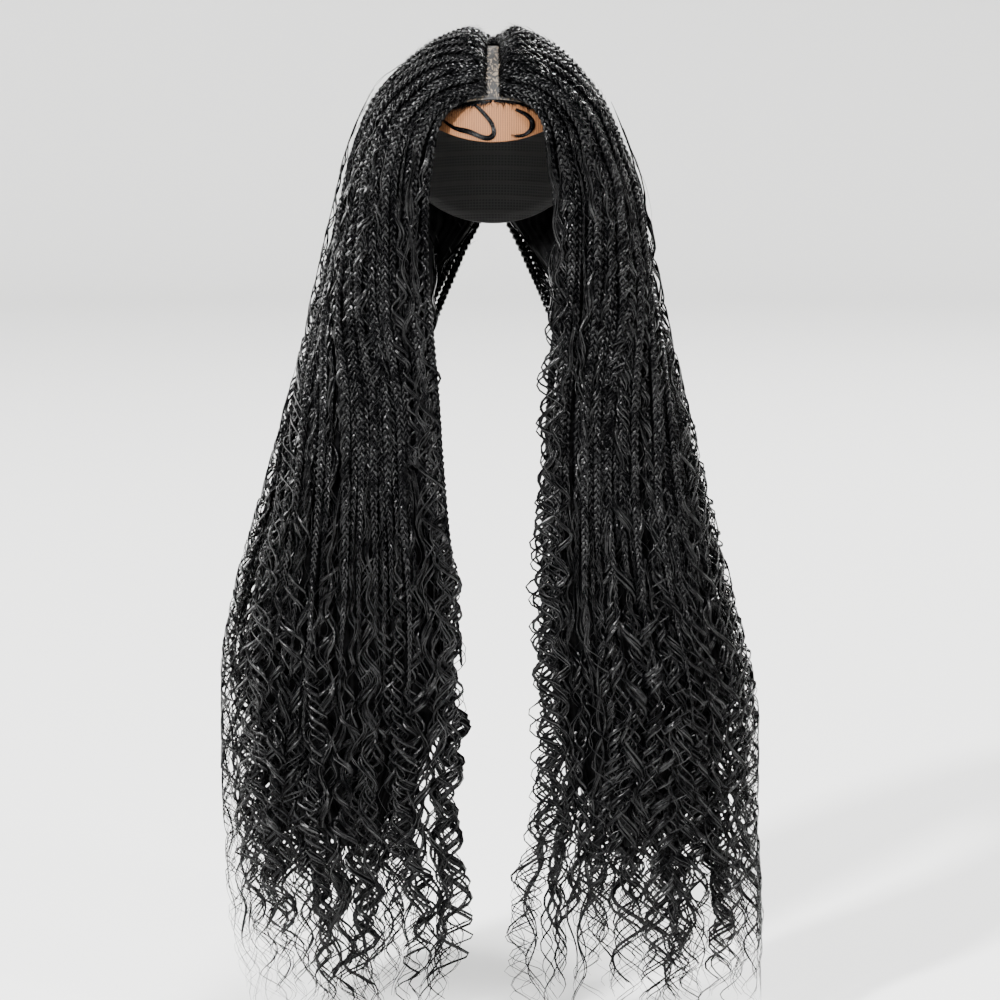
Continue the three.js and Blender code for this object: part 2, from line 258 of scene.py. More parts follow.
@dataclass
class Sheet:
    """The curved sheet in which the outer braids of one side lie."""

    side: Side
    columns: int = 241
    steps: int = 16
    points: Array = field(init=False)
    normals: Array = field(init=False)
    across: Array = field(init=False)

    def __post_init__(self) -> None:
        """Works the sheet out once as a dense grid of rows and columns."""
        rows = np.stack([self._row(i) for i in range(self.rows)])
        place = np.linspace(0, self.rows - 1, (self.rows - 1) * self.steps + 1)
        self.points = smooth_curve(rows, place)
        self.across = unit(np.gradient(self.points, axis=1))
        down = np.gradient(self.points, axis=0)
        self.normals = unit(np.cross(down, self.across) * self.side.value)

    @property
    def rows(self) -> int:
        """How many sections the sheet runs through."""
        return len(OVER_HEAD) + len(BELOW_HEAD)

    def _row(self, index: int) -> Array:
        """One section's points, an equal way apart.

        Args:
            index: the section's number from the parting down.

        Returns:
            Points from the edge beside the face (cosine 1) round to the back edge (cosine -1).
            Across, they bulge from the edge to the widest place by the sine raised to the bow.
        """
        over = index < len(OVER_HEAD)
        s = OVER_HEAD[index] if over else BELOW_HEAD[index - len(OVER_HEAD)]
        wide = HEAD.half_width if over else HAIR.half_width
        long = HEAD.half_length if over else HAIR.front
        behind = HEAD.half_length if over else HAIR.back
        tall = HEAD.rise if over else HAIR.length
        near, far = (s.in_left, s.out_left) if self.side is Side.LEFT else (s.in_right, s.out_right)
        angle = np.linspace(0, math.pi, 241)
        cosine, sine = np.cos(angle), np.maximum(np.sin(angle), 0)
        edge = (near + (s.mid - near) * (1 - cosine) / 2) * wide
        x = self.side.value * (edge + (far * wide - edge) * sine**s.bow)
        y = between((s.y_front * long, s.y_side * long, s.y_back * behind), cosine)
        z = between((s.z_front * tall, s.z_side * tall, s.z_back * tall), cosine)
        line = np.stack([x, y, z], axis=1)
        way = np.concatenate([[0], np.cumsum(np.linalg.norm(np.diff(line, axis=0), axis=1))])
        goal = np.linspace(0, way[-1], self.columns)
        return np.stack([np.interp(goal, way, line[:, k]) for k in range(3)], axis=1)

    def at(self, share: Array, row: Array) -> tuple[Array, Array, Array]:
        """Points, outward normals and across directions, by bilinear interpolation.

        Args:
            share: places round the sheet, 0 at the face and 1 at the back, any shape.
            row: section numbers, the same shape; they may be fractions.

        Returns:
            Three arrays of that shape with a last axis of 3.
        """
        u = np.clip(share, 0, 1) * (self.columns - 1)
        v = np.clip(row, 0, self.rows - 1) * self.steps
        i = np.minimum(u.astype(int), self.columns - 2)
        j = np.minimum(v.astype(int), self.points.shape[0] - 2)
        fu, fv = (u - i)[..., None], (v - j)[..., None]
        found = []
        for grid in (self.points, self.normals, self.across):
            upper = grid[j, i] * (1 - fu) + grid[j, i + 1] * fu
            lower = grid[j + 1, i] * (1 - fu) + grid[j + 1, i + 1] * fu
            found.append(upper * (1 - fv) + lower * fv)
        return found[0], unit(found[1]), unit(found[2])


def between(values: tuple[float, float, float], cosine: Array) -> Array:
    """A smooth value that is front, side and back where the cosine is 1, 0 and -1.

    Args:
        values: the value at the front, the side and the back.
        cosine: where to read it.

    Returns:
        The value of the parabola through all three.
    """
    front, side, back = values
    return side + (front - back) / 2 * cosine + ((front + back) / 2 - side) * cosine**2


def wander(rng: np.random.Generator, way: Array, waves: tuple[float, ...]) -> Array:
    """A slow random swing along paths, as a sum of sines.

    Args:
        rng: the source of the random phases.
        way: length along each path, of shape (paths, samples).
        waves: wavelengths of the sines.

    Returns:
        Values from about -1 to 1, of the same shape.
    """
    total = np.zeros_like(way)
    for wave in waves:
        phase = rng.uniform(0, FULL_TURN, (way.shape[0], 1))
        total += np.sin(FULL_TURN * way / wave + phase)
    return total / len(waves)


def lengths(path: Array) -> Array:
    """Length along each path from its start.

    Args:
        path: points of shape (paths, samples, 3).

    Returns:
        The sums of the steps, of shape (paths, samples).
    """
    step = np.linalg.norm(np.diff(path, axis=1), axis=2)
    return np.concatenate([np.zeros((path.shape[0], 1)), np.cumsum(step, axis=1)], axis=1)


def even_rows(sheet: Sheet, share: Array, first: Array, last: Array, samples: int) -> Array:
    """Row numbers along columns of the sheet that lie an equal way apart.

    Args:
        sheet: the sheet.
        share: each path's place round the sheet, of shape (paths,).
        first: each path's first row.
        last: each path's last row.
        samples: how many points each path gets.

    Returns:
        Row numbers of shape (paths, samples).
    """
    t = np.linspace(0, 1, 260)
    rows = first[:, None] + (last - first)[:, None] * t
    points, _, _ = sheet.at(np.broadcast_to(share[:, None], rows.shape), rows)
    way = lengths(points)
    goal = np.linspace(0, 1, samples)
    return np.stack([np.interp(goal * w[-1], w, r) for w, r in zip(way, rows)])


class Bundle(NamedTuple):
    """Swept strands of one kind: rings of points, and each strand's tone and lengths."""

    rings: Array
    tone: Array
    way: Array


def sweep(path: Array, out: Array, wide: Array, thick: Array, sides: int, tone: Array) -> Bundle:
    """Sweeps an ellipse along paths.

    Each ring is the path's point plus the outward arm times the cosine and the across arm times
    the sine of equally spaced angles, which run anticlockwise about the path's direction.

    Args:
        path: points of shape (strands, samples, 3).
        out: directions that the thickness is measured in, the same shape.
        wide: half widths of shape (strands, samples).
        thick: half thicknesses, the same shape.
        sides: corners of each ring.
        tone: a number from 0 to 1 for each strand.

    Returns:
        The strands' rings, of shape (strands, samples, sides, 3), with their tones and lengths.
    """
    along = unit(np.gradient(path, axis=1))
    across = unit(np.cross(along, out))
    rise = np.cross(across, along)
    angle = FULL_TURN * (np.arange(sides) + 0.5) / sides
    cosine, sine = np.cos(angle)[:, None], np.sin(angle)[:, None]
    rings = (
        path[:, :, None]
        + rise[:, :, None] * cosine * thick[..., None, None]
        + across[:, :, None] * sine * wide[..., None, None]
    )
    return Bundle(rings, tone, lengths(path))


def strand_mesh(
    name: str, bundles: list[Bundle], finish: bpy.types.Material
) -> bpy.types.Object:
    """Joins swept strands into one piece with closed ends.

    Quads join neighbouring corners of neighbouring rings, and the first and last ring of each
    strand are one face each. UV runs round the strand and along it in metres.

    Args:
        name: the piece's name.
        bundles: the strands.
        finish: the piece's material.

    Returns:
        The piece, riding on the wig's only body.
    """
    points, tones, corners, starts, uvs = [], [], [], [], []
    base = start = 0
    for rings, tone, way in bundles:
        count, samples, sides, _ = rings.shape
        index = base + np.arange(count * samples * sides).reshape(count, samples, sides)
        turned = np.roll(index, -1, axis=2)
        quads = np.stack([index[:, :-1], turned[:, :-1], turned[:, 1:], index[:, 1:]], axis=-1)
        round_ = np.arange(sides) / sides
        u = np.stack([round_, round_ + 1 / sides, round_ + 1 / sides, round_], axis=-1)
        u = np.broadcast_to(u[None, None], quads.shape)
        v = np.stack([way[:, :-1], way[:, :-1], way[:, 1:], way[:, 1:]], axis=-1)
        v = np.broadcast_to(v[:, :, None], quads.shape)
        shift = (tone * TONE_SHIFT)[:, None, None, None]
        ends = np.concatenate([index[:, 0, ::-1], index[:, -1]])
        corners += [quads.ravel(), ends.ravel()]
        uvs += [
            np.stack([u, v + shift], axis=-1).reshape(-1, 2),
            np.zeros((ends.size, 2)),
        ]
        faces = quads.size // 4
        starts += [start + 4 * np.arange(faces), start + 4 * faces + sides * np.arange(len(ends))]
        start += quads.size + ends.size
        base += index.size
        points.append(rings.reshape(-1, 3))
        tones.append(np.repeat(tone, samples * sides))
    mesh = bpy.data.meshes.new(name)
    points, corners = np.concatenate(points), np.concatenate(corners)
    starts, uvs = np.concatenate(starts), np.concatenate(uvs)
    mesh.vertices.add(len(points))
    mesh.vertices.foreach_set("co", points.astype(np.float32).ravel())
    mesh.loops.add(len(corners))
    mesh.loops.foreach_set("vertex_index", corners.astype(np.int32))
    mesh.polygons.add(len(starts))
    mesh.polygons.foreach_set("loop_start", starts.astype(np.int32))
    mesh.polygons.foreach_set("use_smooth", np.ones(len(starts), bool))
    mesh.update(calc_edges=True)
    mesh.uv_layers.new(name="strand").data.foreach_set("uv", uvs.astype(np.float32).ravel())
    attribute = mesh.attributes.new("tone", "FLOAT", "POINT")
    attribute.data.foreach_set("value", np.concatenate(tones).astype(np.float32))
    mesh.validate()
    return place_piece(name, mesh, finish)


def grid_mesh(
    name: str, grid: Array, uv: Array, finish: bpy.types.Material
) -> bpy.types.Object:
    """A closed thin wall between two grids of points.

    The outer grid's quads face out, the inner grid's are turned round, and a rim of quads joins
    their borders.

    Args:
        name: the piece's name.
        grid: points of shape (2, rows, columns, 3), outer wall first.
        uv: texture places of shape (rows, columns, 2).
        finish: the piece's material.

    Returns:
        The piece, riding on the wig's only body.
    """
    _, rows, columns, _ = grid.shape
    index = np.arange(rows * columns).reshape(rows, columns)
    corners = [index[:-1, :-1], index[1:, :-1], index[1:, 1:], index[:-1, 1:]]
    quads = np.stack(corners, axis=-1).reshape(-1, 4)
    border = np.concatenate([index[0, :], index[1:, -1], index[-1, -2::-1], index[-2:0:-1, 0]])
    after = np.roll(border, -1)
    rim = np.stack([border, after, after + rows * columns, border + rows * columns], axis=-1)
    faces = np.concatenate([quads, quads[:, ::-1] + rows * columns, rim])
    mesh = bpy.data.meshes.new(name)
    mesh.from_pydata(grid.reshape(-1, 3).tolist(), [], faces.tolist())
    both = np.concatenate([uv.reshape(-1, 2)] * 2)[faces.ravel()]
    mesh.uv_layers.new(name="strand").data.foreach_set("uv", both.astype(np.float32).ravel())
    mesh.polygons.foreach_set("use_smooth", np.ones(len(faces), bool))
    mesh.update()
    return place_piece(name, mesh, finish)


def shell_mesh(
    name: str, walls: Array, crown: bool, finish: bpy.types.Material
) -> bpy.types.Object:
    """A closed thin wall between two grids of points that go all the way round.

    Args:
        name: the piece's name.
        walls: points of shape (2, rows, columns, 3), outer wall first, rows from the top down and
            columns anticlockwise seen from above, the last one next to the first.
        crown: whether the top row is closed by a face on each wall, or by a rim between them.
        finish: the piece's material.

    Returns:
        The piece, riding on the wig's only body.
    """
    _, rows, columns, _ = walls.shape
    inner = rows * columns
    index = np.arange(inner).reshape(rows, columns)
    turned = np.roll(index, -1, axis=1)
    quads = np.stack([index[:-1], index[1:], turned[1:], turned[:-1]], axis=-1).reshape(-1, 4)
    low = np.stack([index[-1], index[-1] + inner, turned[-1] + inner, turned[-1]], axis=-1)
    high = np.stack([index[0], turned[0], turned[0] + inner, index[0] + inner], axis=-1)
    faces = np.concatenate([quads, quads[:, ::-1] + inner, low] + ([] if crown else [high])).tolist()
    if crown:
        faces += [index[0].tolist(), (index[0, ::-1] + inner).tolist()]
    mesh = bpy.data.meshes.new(name)
    mesh.from_pydata(walls.reshape(-1, 3).tolist(), [], faces)
    mesh.polygons.foreach_set("use_smooth", np.ones(len(faces), bool))
    mesh.update()
    return place_piece(name, mesh, finish)


def place_piece(
    name: str, mesh: bpy.types.Mesh, finish: bpy.types.Material
) -> bpy.types.Object:
    """Puts a mesh in the scene at the origin, dresses it and lets it ride on the wig's body.

    Args:
        name: the piece's name.
        mesh: its mesh.
        finish: its material.

    Returns:
        The piece.
    """
    mesh.materials.append(finish)
    piece = bpy.data.objects.new(name, mesh)
    bpy.context.scene.collection.objects.link(piece)
    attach(piece, BODY)
    return piece


def node_group(name: str, inputs: dict[str, float], outputs: tuple[str, ...]) -> bpy.types.NodeTree:
    """An empty shader group with number inputs and number outputs.

    Args:
        name: the group's name.
        inputs: input names with their usual values.
        outputs: output names.

    Returns:
        The group, holding its input and output nodes.
    """
    tree = bpy.data.node_groups.new(name, "ShaderNodeTree")
    for label, value in inputs.items():
        socket = tree.interface.new_socket(label, in_out="INPUT", socket_type="NodeSocketFloat")
        socket.default_value = value
    for label in outputs:
        tree.interface.new_socket(label, in_out="OUTPUT", socket_type="NodeSocketFloat")
    tree.nodes.new("NodeGroupInput")
    tree.nodes.new("NodeGroupOutput")
    return tree


def math_node(tree: bpy.types.NodeTree, operation: str, *values: object) -> bpy.types.NodeSocket:
    """Adds a Math node.

    Args:
        tree: the nodes that it joins.
        operation: what it works out.
        values: its inputs, as numbers or as sockets to link.

    Returns:
        Its output socket.
    """
    node = tree.nodes.new("ShaderNodeMath")
    node.operation = operation
    for socket, value in zip(node.inputs, values):
        if isinstance(value, (int, float)):
            socket.default_value = value
        else:
            tree.links.new(value, socket)
    return node.outputs[0]


def new_material(
    name: str,
) -> tuple[bpy.types.Material, bpy.types.NodeTree, bpy.types.ShaderNode]:
    """Makes a plain material.

    Args:
        name: its name.

    Returns:
        The material, its nodes and its surface shader.
    """
    material = bpy.data.materials.new(name)
    material.use_nodes = True
    return material, material.node_tree, material.node_tree.nodes["Principled BSDF"]


def noise_node(
    tree: bpy.types.NodeTree,
    place: bpy.types.NodeSocket | None,
    scale: float = 1.0,
    detail: float = 2.0,
    distortion: float = 0.0,
) -> bpy.types.NodeSocket:
    """Adds a soft noise.

    Args:
        tree: the nodes that it joins.
        place: where it's read, or None for places in the piece's own box.
        scale: how many times finer than the places.
        detail: how many finer layers it has.
        distortion: how far it bends itself.

    Returns:
        Its value, about 0.5 on average.
    """
    noise = tree.nodes.new("ShaderNodeTexNoise")
    for label, value in (("Scale", scale), ("Detail", detail), ("Distortion", distortion)):
        noise.inputs[label].default_value = value
    if place is not None:
        tree.links.new(place, noise.inputs["Vector"])
    return noise.outputs["Fac"]


def colour_by(
    shader: bpy.types.ShaderNode,
    value: bpy.types.NodeSocket,
    stops: tuple[tuple[float, tuple[float, float, float]], ...],
) -> None:
    """Colours a surface by a value, with a blend between two colours.

    Args:
        shader: the surface.
        value: what the blend reads.
        stops: the value and the colour at both ends of the blend.
    """
    tree = shader.id_data
    ramp = tree.nodes.new("ShaderNodeValToRGB")
    for i, (position, colour) in enumerate(stops):
        ramp.color_ramp.elements[i].position = position
        ramp.color_ramp.elements[i].color = (*colour, 1)
    tree.links.new(value, ramp.inputs[0])
    tree.links.new(ramp.outputs[0], shader.inputs["Base Color"])


def relief_by(
    shader: bpy.types.ShaderNode, height: bpy.types.NodeSocket, strength: float, distance: float
) -> None:
    """Gives a surface fine relief.

    Args:
        shader: the surface.
        height: how high each place stands.
        strength: how strongly it shows.
        distance: how far a height of 1 stands out, in metres.
    """
    tree = shader.id_data
    bump = tree.nodes.new("ShaderNodeBump")
    bump.inputs["Strength"].default_value = strength
    bump.inputs["Distance"].default_value = distance
    tree.links.new(height, bump.inputs["Height"])
    tree.links.new(bump.outputs[0], shader.inputs["Normal"])


def strand_places(tree: bpy.types.NodeTree) -> bpy.types.NodeSocketCollection:
    """Splits the UV map that every piece has.

    Args:
        tree: the material's nodes.

    Returns:
        Sockets X and Y: round a strand or across a cloth, and along it in metres.
    """
    uv = tree.nodes.new("ShaderNodeUVMap")
    uv.uv_map = "strand"
    split = tree.nodes.new("ShaderNodeSeparateXYZ")
    tree.links.new(uv.outputs["UV"], split.inputs[0])
    return split.outputs


def fibre_group() -> bpy.types.NodeTree:
    """The fine parallel fibres of a strand.

    Noise stretched along the strand: many times finer round it than along it.

    Returns:
        A group with inputs Round and Along and outputs Streak and Fine.
    """
    tree = node_group("fibres", {"Round": 9.0, "Along": 30.0}, ("Streak", "Fine"))
    enter, leave = tree.nodes["Group Input"], tree.nodes["Group Output"]
    strand = strand_places(tree)
    for label, scale in (("Streak", 1.0), ("Fine", 3.1)):
        join = tree.nodes.new("ShaderNodeCombineXYZ")
        angle = math_node(tree, "MULTIPLY", strand["X"], FULL_TURN)
        wide = math_node(tree, "MULTIPLY", enter.outputs["Round"], scale / FULL_TURN)
        for axis, wave in enumerate(("COSINE", "SINE")):
            way = math_node(tree, "MULTIPLY", math_node(tree, wave, angle), wide)
            tree.links.new(way, join.inputs[axis])
        long = math_node(tree, "MULTIPLY", enter.outputs["Along"], scale)
        tree.links.new(math_node(tree, "MULTIPLY", strand["Y"], long), join.inputs[2])
        tree.links.new(noise_node(tree, join.outputs[0]), leave.inputs[label])
    return tree


@dataclass(frozen=True)
class HairFinish:
    """Near-black synthetic fibre: streaks along the strand, the darker ones painted shade, and duller
    and glossier patches.

    Attributes:
        name: the material's name.
        dark: colour of the darkest streaks, which lie in the fibres' grooves: painted shade between the
            fibres.
        pale: colour of the palest streaks.
        rough: roughness where streak and patch are 0 and where they are 1.
        shine: strength of the mirror reflection before it's varied.
        stretch: how far highlights are drawn out along the strand.
        round_: streaks round the strand.
        along: streaks in a metre of strand.
        bump: how strongly the fibres' relief shows.
        relief: how far the highest fibres stand out, in metres.
        patch: patches in a metre.
        gloss: slope, start and least value of the line that varies the shine.
        tone_share: how far a strand's own tone moves its colour.
        patch_share: how far patches change the roughness and the shine.
        fine_share: height of the fine fibres beside the streaks.
    """

    name: str
    dark: tuple[float, float, float] = (0.0005, 0.0005, 0.0006)
    pale: tuple[float, float, float] = (0.0024, 0.0024, 0.0026)
    rough: tuple[float, float] = (0.1, 0.27)
    shine: float = 0.165
    stretch: float = 0.7
    round_: float = 5.0
    along: float = 24.0
    bump: float = 0.65
    relief: float = 1.1 * MM
    patch: float = 75.0
    gloss: tuple[float, float, float] = (4.4, -1.4, 0.1)
    tone_share: float = 0.3
    patch_share: float = 0.7
    fine_share: float = 0.35

    def make(self, fibres: bpy.types.NodeTree) -> bpy.types.Material:
        """Builds the material round the fibre group.

        Gloss is the shine times a steep straight line through the streak and the patch, so that
        whole clumps catch the light beside clumps that stay black.

        Args:
            fibres: the shared fibre group.

        Returns:
            The material.
        """
        material, tree, shader = new_material(self.name)
        group = tree.nodes.new("ShaderNodeGroup")
        group.node_tree = fibres
        group.inputs["Round"].default_value = self.round_
        group.inputs["Along"].default_value = self.along
        streak = group.outputs["Streak"]
        tone = tree.nodes.new("ShaderNodeAttribute")
        tone.attribute_name = "tone"
        place = tree.nodes.new("ShaderNodeTexCoord")
        patches = noise_node(tree, place.outputs["Object"], self.patch)
        about = -self.tone_share / 2
        # Base colour: each strand's random tone plus the fibre streaks. The darker streaks follow the
        # grooves of the relief and are painted shade between the fibres.
        tint = math_node(tree, "MULTIPLY_ADD", tone.outputs["Fac"], self.tone_share, about)
        tint = math_node(tree, "ADD", tint, streak)
        colour_by(shader, tint, ((0.38, self.dark), (0.72, self.pale)))
        dull = math_node(tree, "MULTIPLY_ADD", patches, self.patch_share, -self.patch_share / 2)
        dull = math_node(tree, "ADD", streak, dull)
        low, high = self.rough
        rough = math_node(tree, "MULTIPLY_ADD", dull, high - low, low)
        tree.links.new(math_node(tree, "MAXIMUM", rough, 0.1), shader.inputs["Roughness"])
        height = math_node(tree, "MULTIPLY_ADD", group.outputs["Fine"], self.fine_share, streak)
        relief_by(shader, height, self.bump, self.relief)
        steep, start, least = self.gloss
        gloss = math_node(tree, "MULTIPLY_ADD", dull, steep, start)
        gloss = math_node(tree, "MULTIPLY", math_node(tree, "MAXIMUM", gloss, least), self.shine)
        tree.links.new(gloss, shader.inputs["Specular IOR Level"])
        shader.inputs["IOR"].default_value = 1.5
        shader.inputs["Anisotropic"].default_value = self.stretch
        around = tree.nodes.new("ShaderNodeTangent")
        around.direction_type = "UV_MAP"
        around.uv_map = "strand"
        tree.links.new(around.outputs[0], shader.inputs["Tangent"])
        return material


@dataclass(frozen=True)
class LaceFinish:
    """Fine net: a square mesh of threads with darker holes and a soft cloud of colour.

    Attributes:
        name: the material's name.
        thread: the threads' colour.
        hole: the holes' colour.
        pitch: from thread to thread.
        cross: how strong the cross threads are beside the others.
        cloud: how strong the soft cloud is.
        rough: roughness.
        weave: how the threads lie.
        track: from sewn track to sewn track, or 0 for none.
        mean_radius: the head's radius that angles are turned into widths with.
    """

    name: str
    thread: tuple[float, float, float] = (0.182, 0.069, 0.019)
    hole: tuple[float, float, float] = (0.07, 0.026, 0.007)
    pitch: float = 1.9 * MM
    cross: float = 0.3
    cloud: float = 0.45
    rough: float = 0.8
    weave: Weave = Weave.FLAT
    track: float = 0.0
    mean_radius: float = 85 * MM

    def tracks(self, tree: bpy.types.NodeTree, along: bpy.types.NodeSocket) -> bpy.types.NodeSocket:
        """A mask of the sewn bands that lie an even step apart, 1 on a band and 0 between.

        Args:
            tree: the material's nodes.
            along: the place that the bands are counted in.

        Returns:
            The mask: how far the step's fraction is from its middle, sharpened.
        """
        part = math_node(tree, "FRACT", math_node(tree, "DIVIDE", along, self.track))
        off = math_node(tree, "ABSOLUTE", math_node(tree, "SUBTRACT", part, 0.5))
        band = math_node(tree, "MULTIPLY_ADD", off, -14.0, 2.6)
        return math_node(tree, "MINIMUM", math_node(tree, "MAXIMUM", band, 0.0), 1.0)

    def threads(self, tree: bpy.types.NodeTree) -> tuple[bpy.types.NodeSocket, bpy.types.NodeSocket]:
        """Places across and along the net in metres.

        Args:
            tree: the material's nodes.

        Returns:
            Two sockets: the UV map's two values, or the angle round the head times a mean radius,
            and the height.
        """
        if self.weave is Weave.FLAT:
            cloth = strand_places(tree)
            return cloth["X"], cloth["Y"]
        split = tree.nodes.new("ShaderNodeSeparateXYZ")
        place = tree.nodes.new("ShaderNodeTexCoord")
        tree.links.new(place.outputs["Object"], split.inputs[0])
        angle = math_node(tree, "ARCTAN2", split.outputs["Y"], split.outputs["X"])
        return math_node(tree, "MULTIPLY", angle, self.mean_radius), split.outputs["Z"]

    def make(self) -> bpy.types.Material:
        """Builds the material; the mesh is the larger of two sine ridges, one for each direction.

        Returns:
            The material.
        """
        material, tree, shader = new_material(self.name)
        ridges = []
        ways = self.threads(tree)
        for way, share in zip(ways, (1.0, self.cross)):
            wave = math_node(tree, "MULTIPLY", way, FULL_TURN / self.pitch)
            ridge = math_node(tree, "MULTIPLY_ADD", math_node(tree, "COSINE", wave), 0.5, 0.5)
            ridges.append(math_node(tree, "MULTIPLY", ridge, share))
        mesh = math_node(tree, "MAXIMUM", *ridges)
        if self.track:
            mesh = math_node(tree, "MULTIPLY_ADD", self.tracks(tree, ways[1]), 1.2, mesh)
        cloud = noise_node(tree, None, 60.0)
        mix = math_node(tree, "MULTIPLY_ADD", cloud, self.cloud, mesh)
        colour_by(shader, mix, ((0.2, self.hole), (1.0, self.thread)))
        relief_by(shader, mesh, 0.5, 0.35 * MM)
        shader.inputs["Roughness"].default_value = self.rough
        return material


@dataclass(frozen=True)
class PartingFinish:
    """Scalp-coloured lace with fine dark squiggles of knotted hair, sewn across at even steps."""

    name: str
    skin: tuple[float, float, float] = (0.1, 0.078, 0.056)
    knot: tuple[float, float, float] = (0.003, 0.0026, 0.0024)
    squiggle: tuple[float, float] = (250.0, 135.0)
    thin: float = 6.0
    seam_step: float = 10.2 * MM
    seam_thin: float = 16.0

    def line(
        self, tree: bpy.types.NodeTree, value: bpy.types.NodeSocket, thin: float
    ) -> bpy.types.NodeSocket:
        """A line where a value passes its middle.

        Args:
            tree: the material's nodes.
            value: the value, from 0 to 1.
            thin: how thin the line is.

        Returns:
            One less the thinness times how far the value is from 0.5.
        """
        off = math_node(tree, "ABSOLUTE", math_node(tree, "SUBTRACT", value, 0.5))
        return math_node(tree, "SUBTRACT", 1.0, math_node(tree, "MULTIPLY", off, thin))

    def make(self) -> bpy.types.Material:
        """Builds the material.

        Squiggles are where a bent noise is near its middle value. Seams are where the place along,
        over the step, is half way between two whole numbers.

        Returns:
            The material.
        """
        material, tree, shader = new_material(self.name)
        cloth = strand_places(tree)
        join = tree.nodes.new("ShaderNodeCombineXYZ")
        for axis, scale in enumerate(self.squiggle):
            tree.links.new(math_node(tree, "MULTIPLY", cloth[axis], scale), join.inputs[axis])
        noise = noise_node(tree, join.outputs[0], detail=0.0, distortion=0.9)
        step = math_node(tree, "DIVIDE", cloth["Y"], self.seam_step)
        line, seam = (
            self.line(tree, value, thin)
            for value, thin in ((noise, self.thin), (math_node(tree, "FRACT", step), self.seam_thin))
        )
        dark = math_node(tree, "MAXIMUM", line, seam)
        colour_by(shader, dark, ((0.1, self.skin), (0.5, self.knot)))
        relief_by(shader, dark, 0.6, 0.4 * MM)
        shader.inputs["Roughness"].default_value = 0.7
        return material


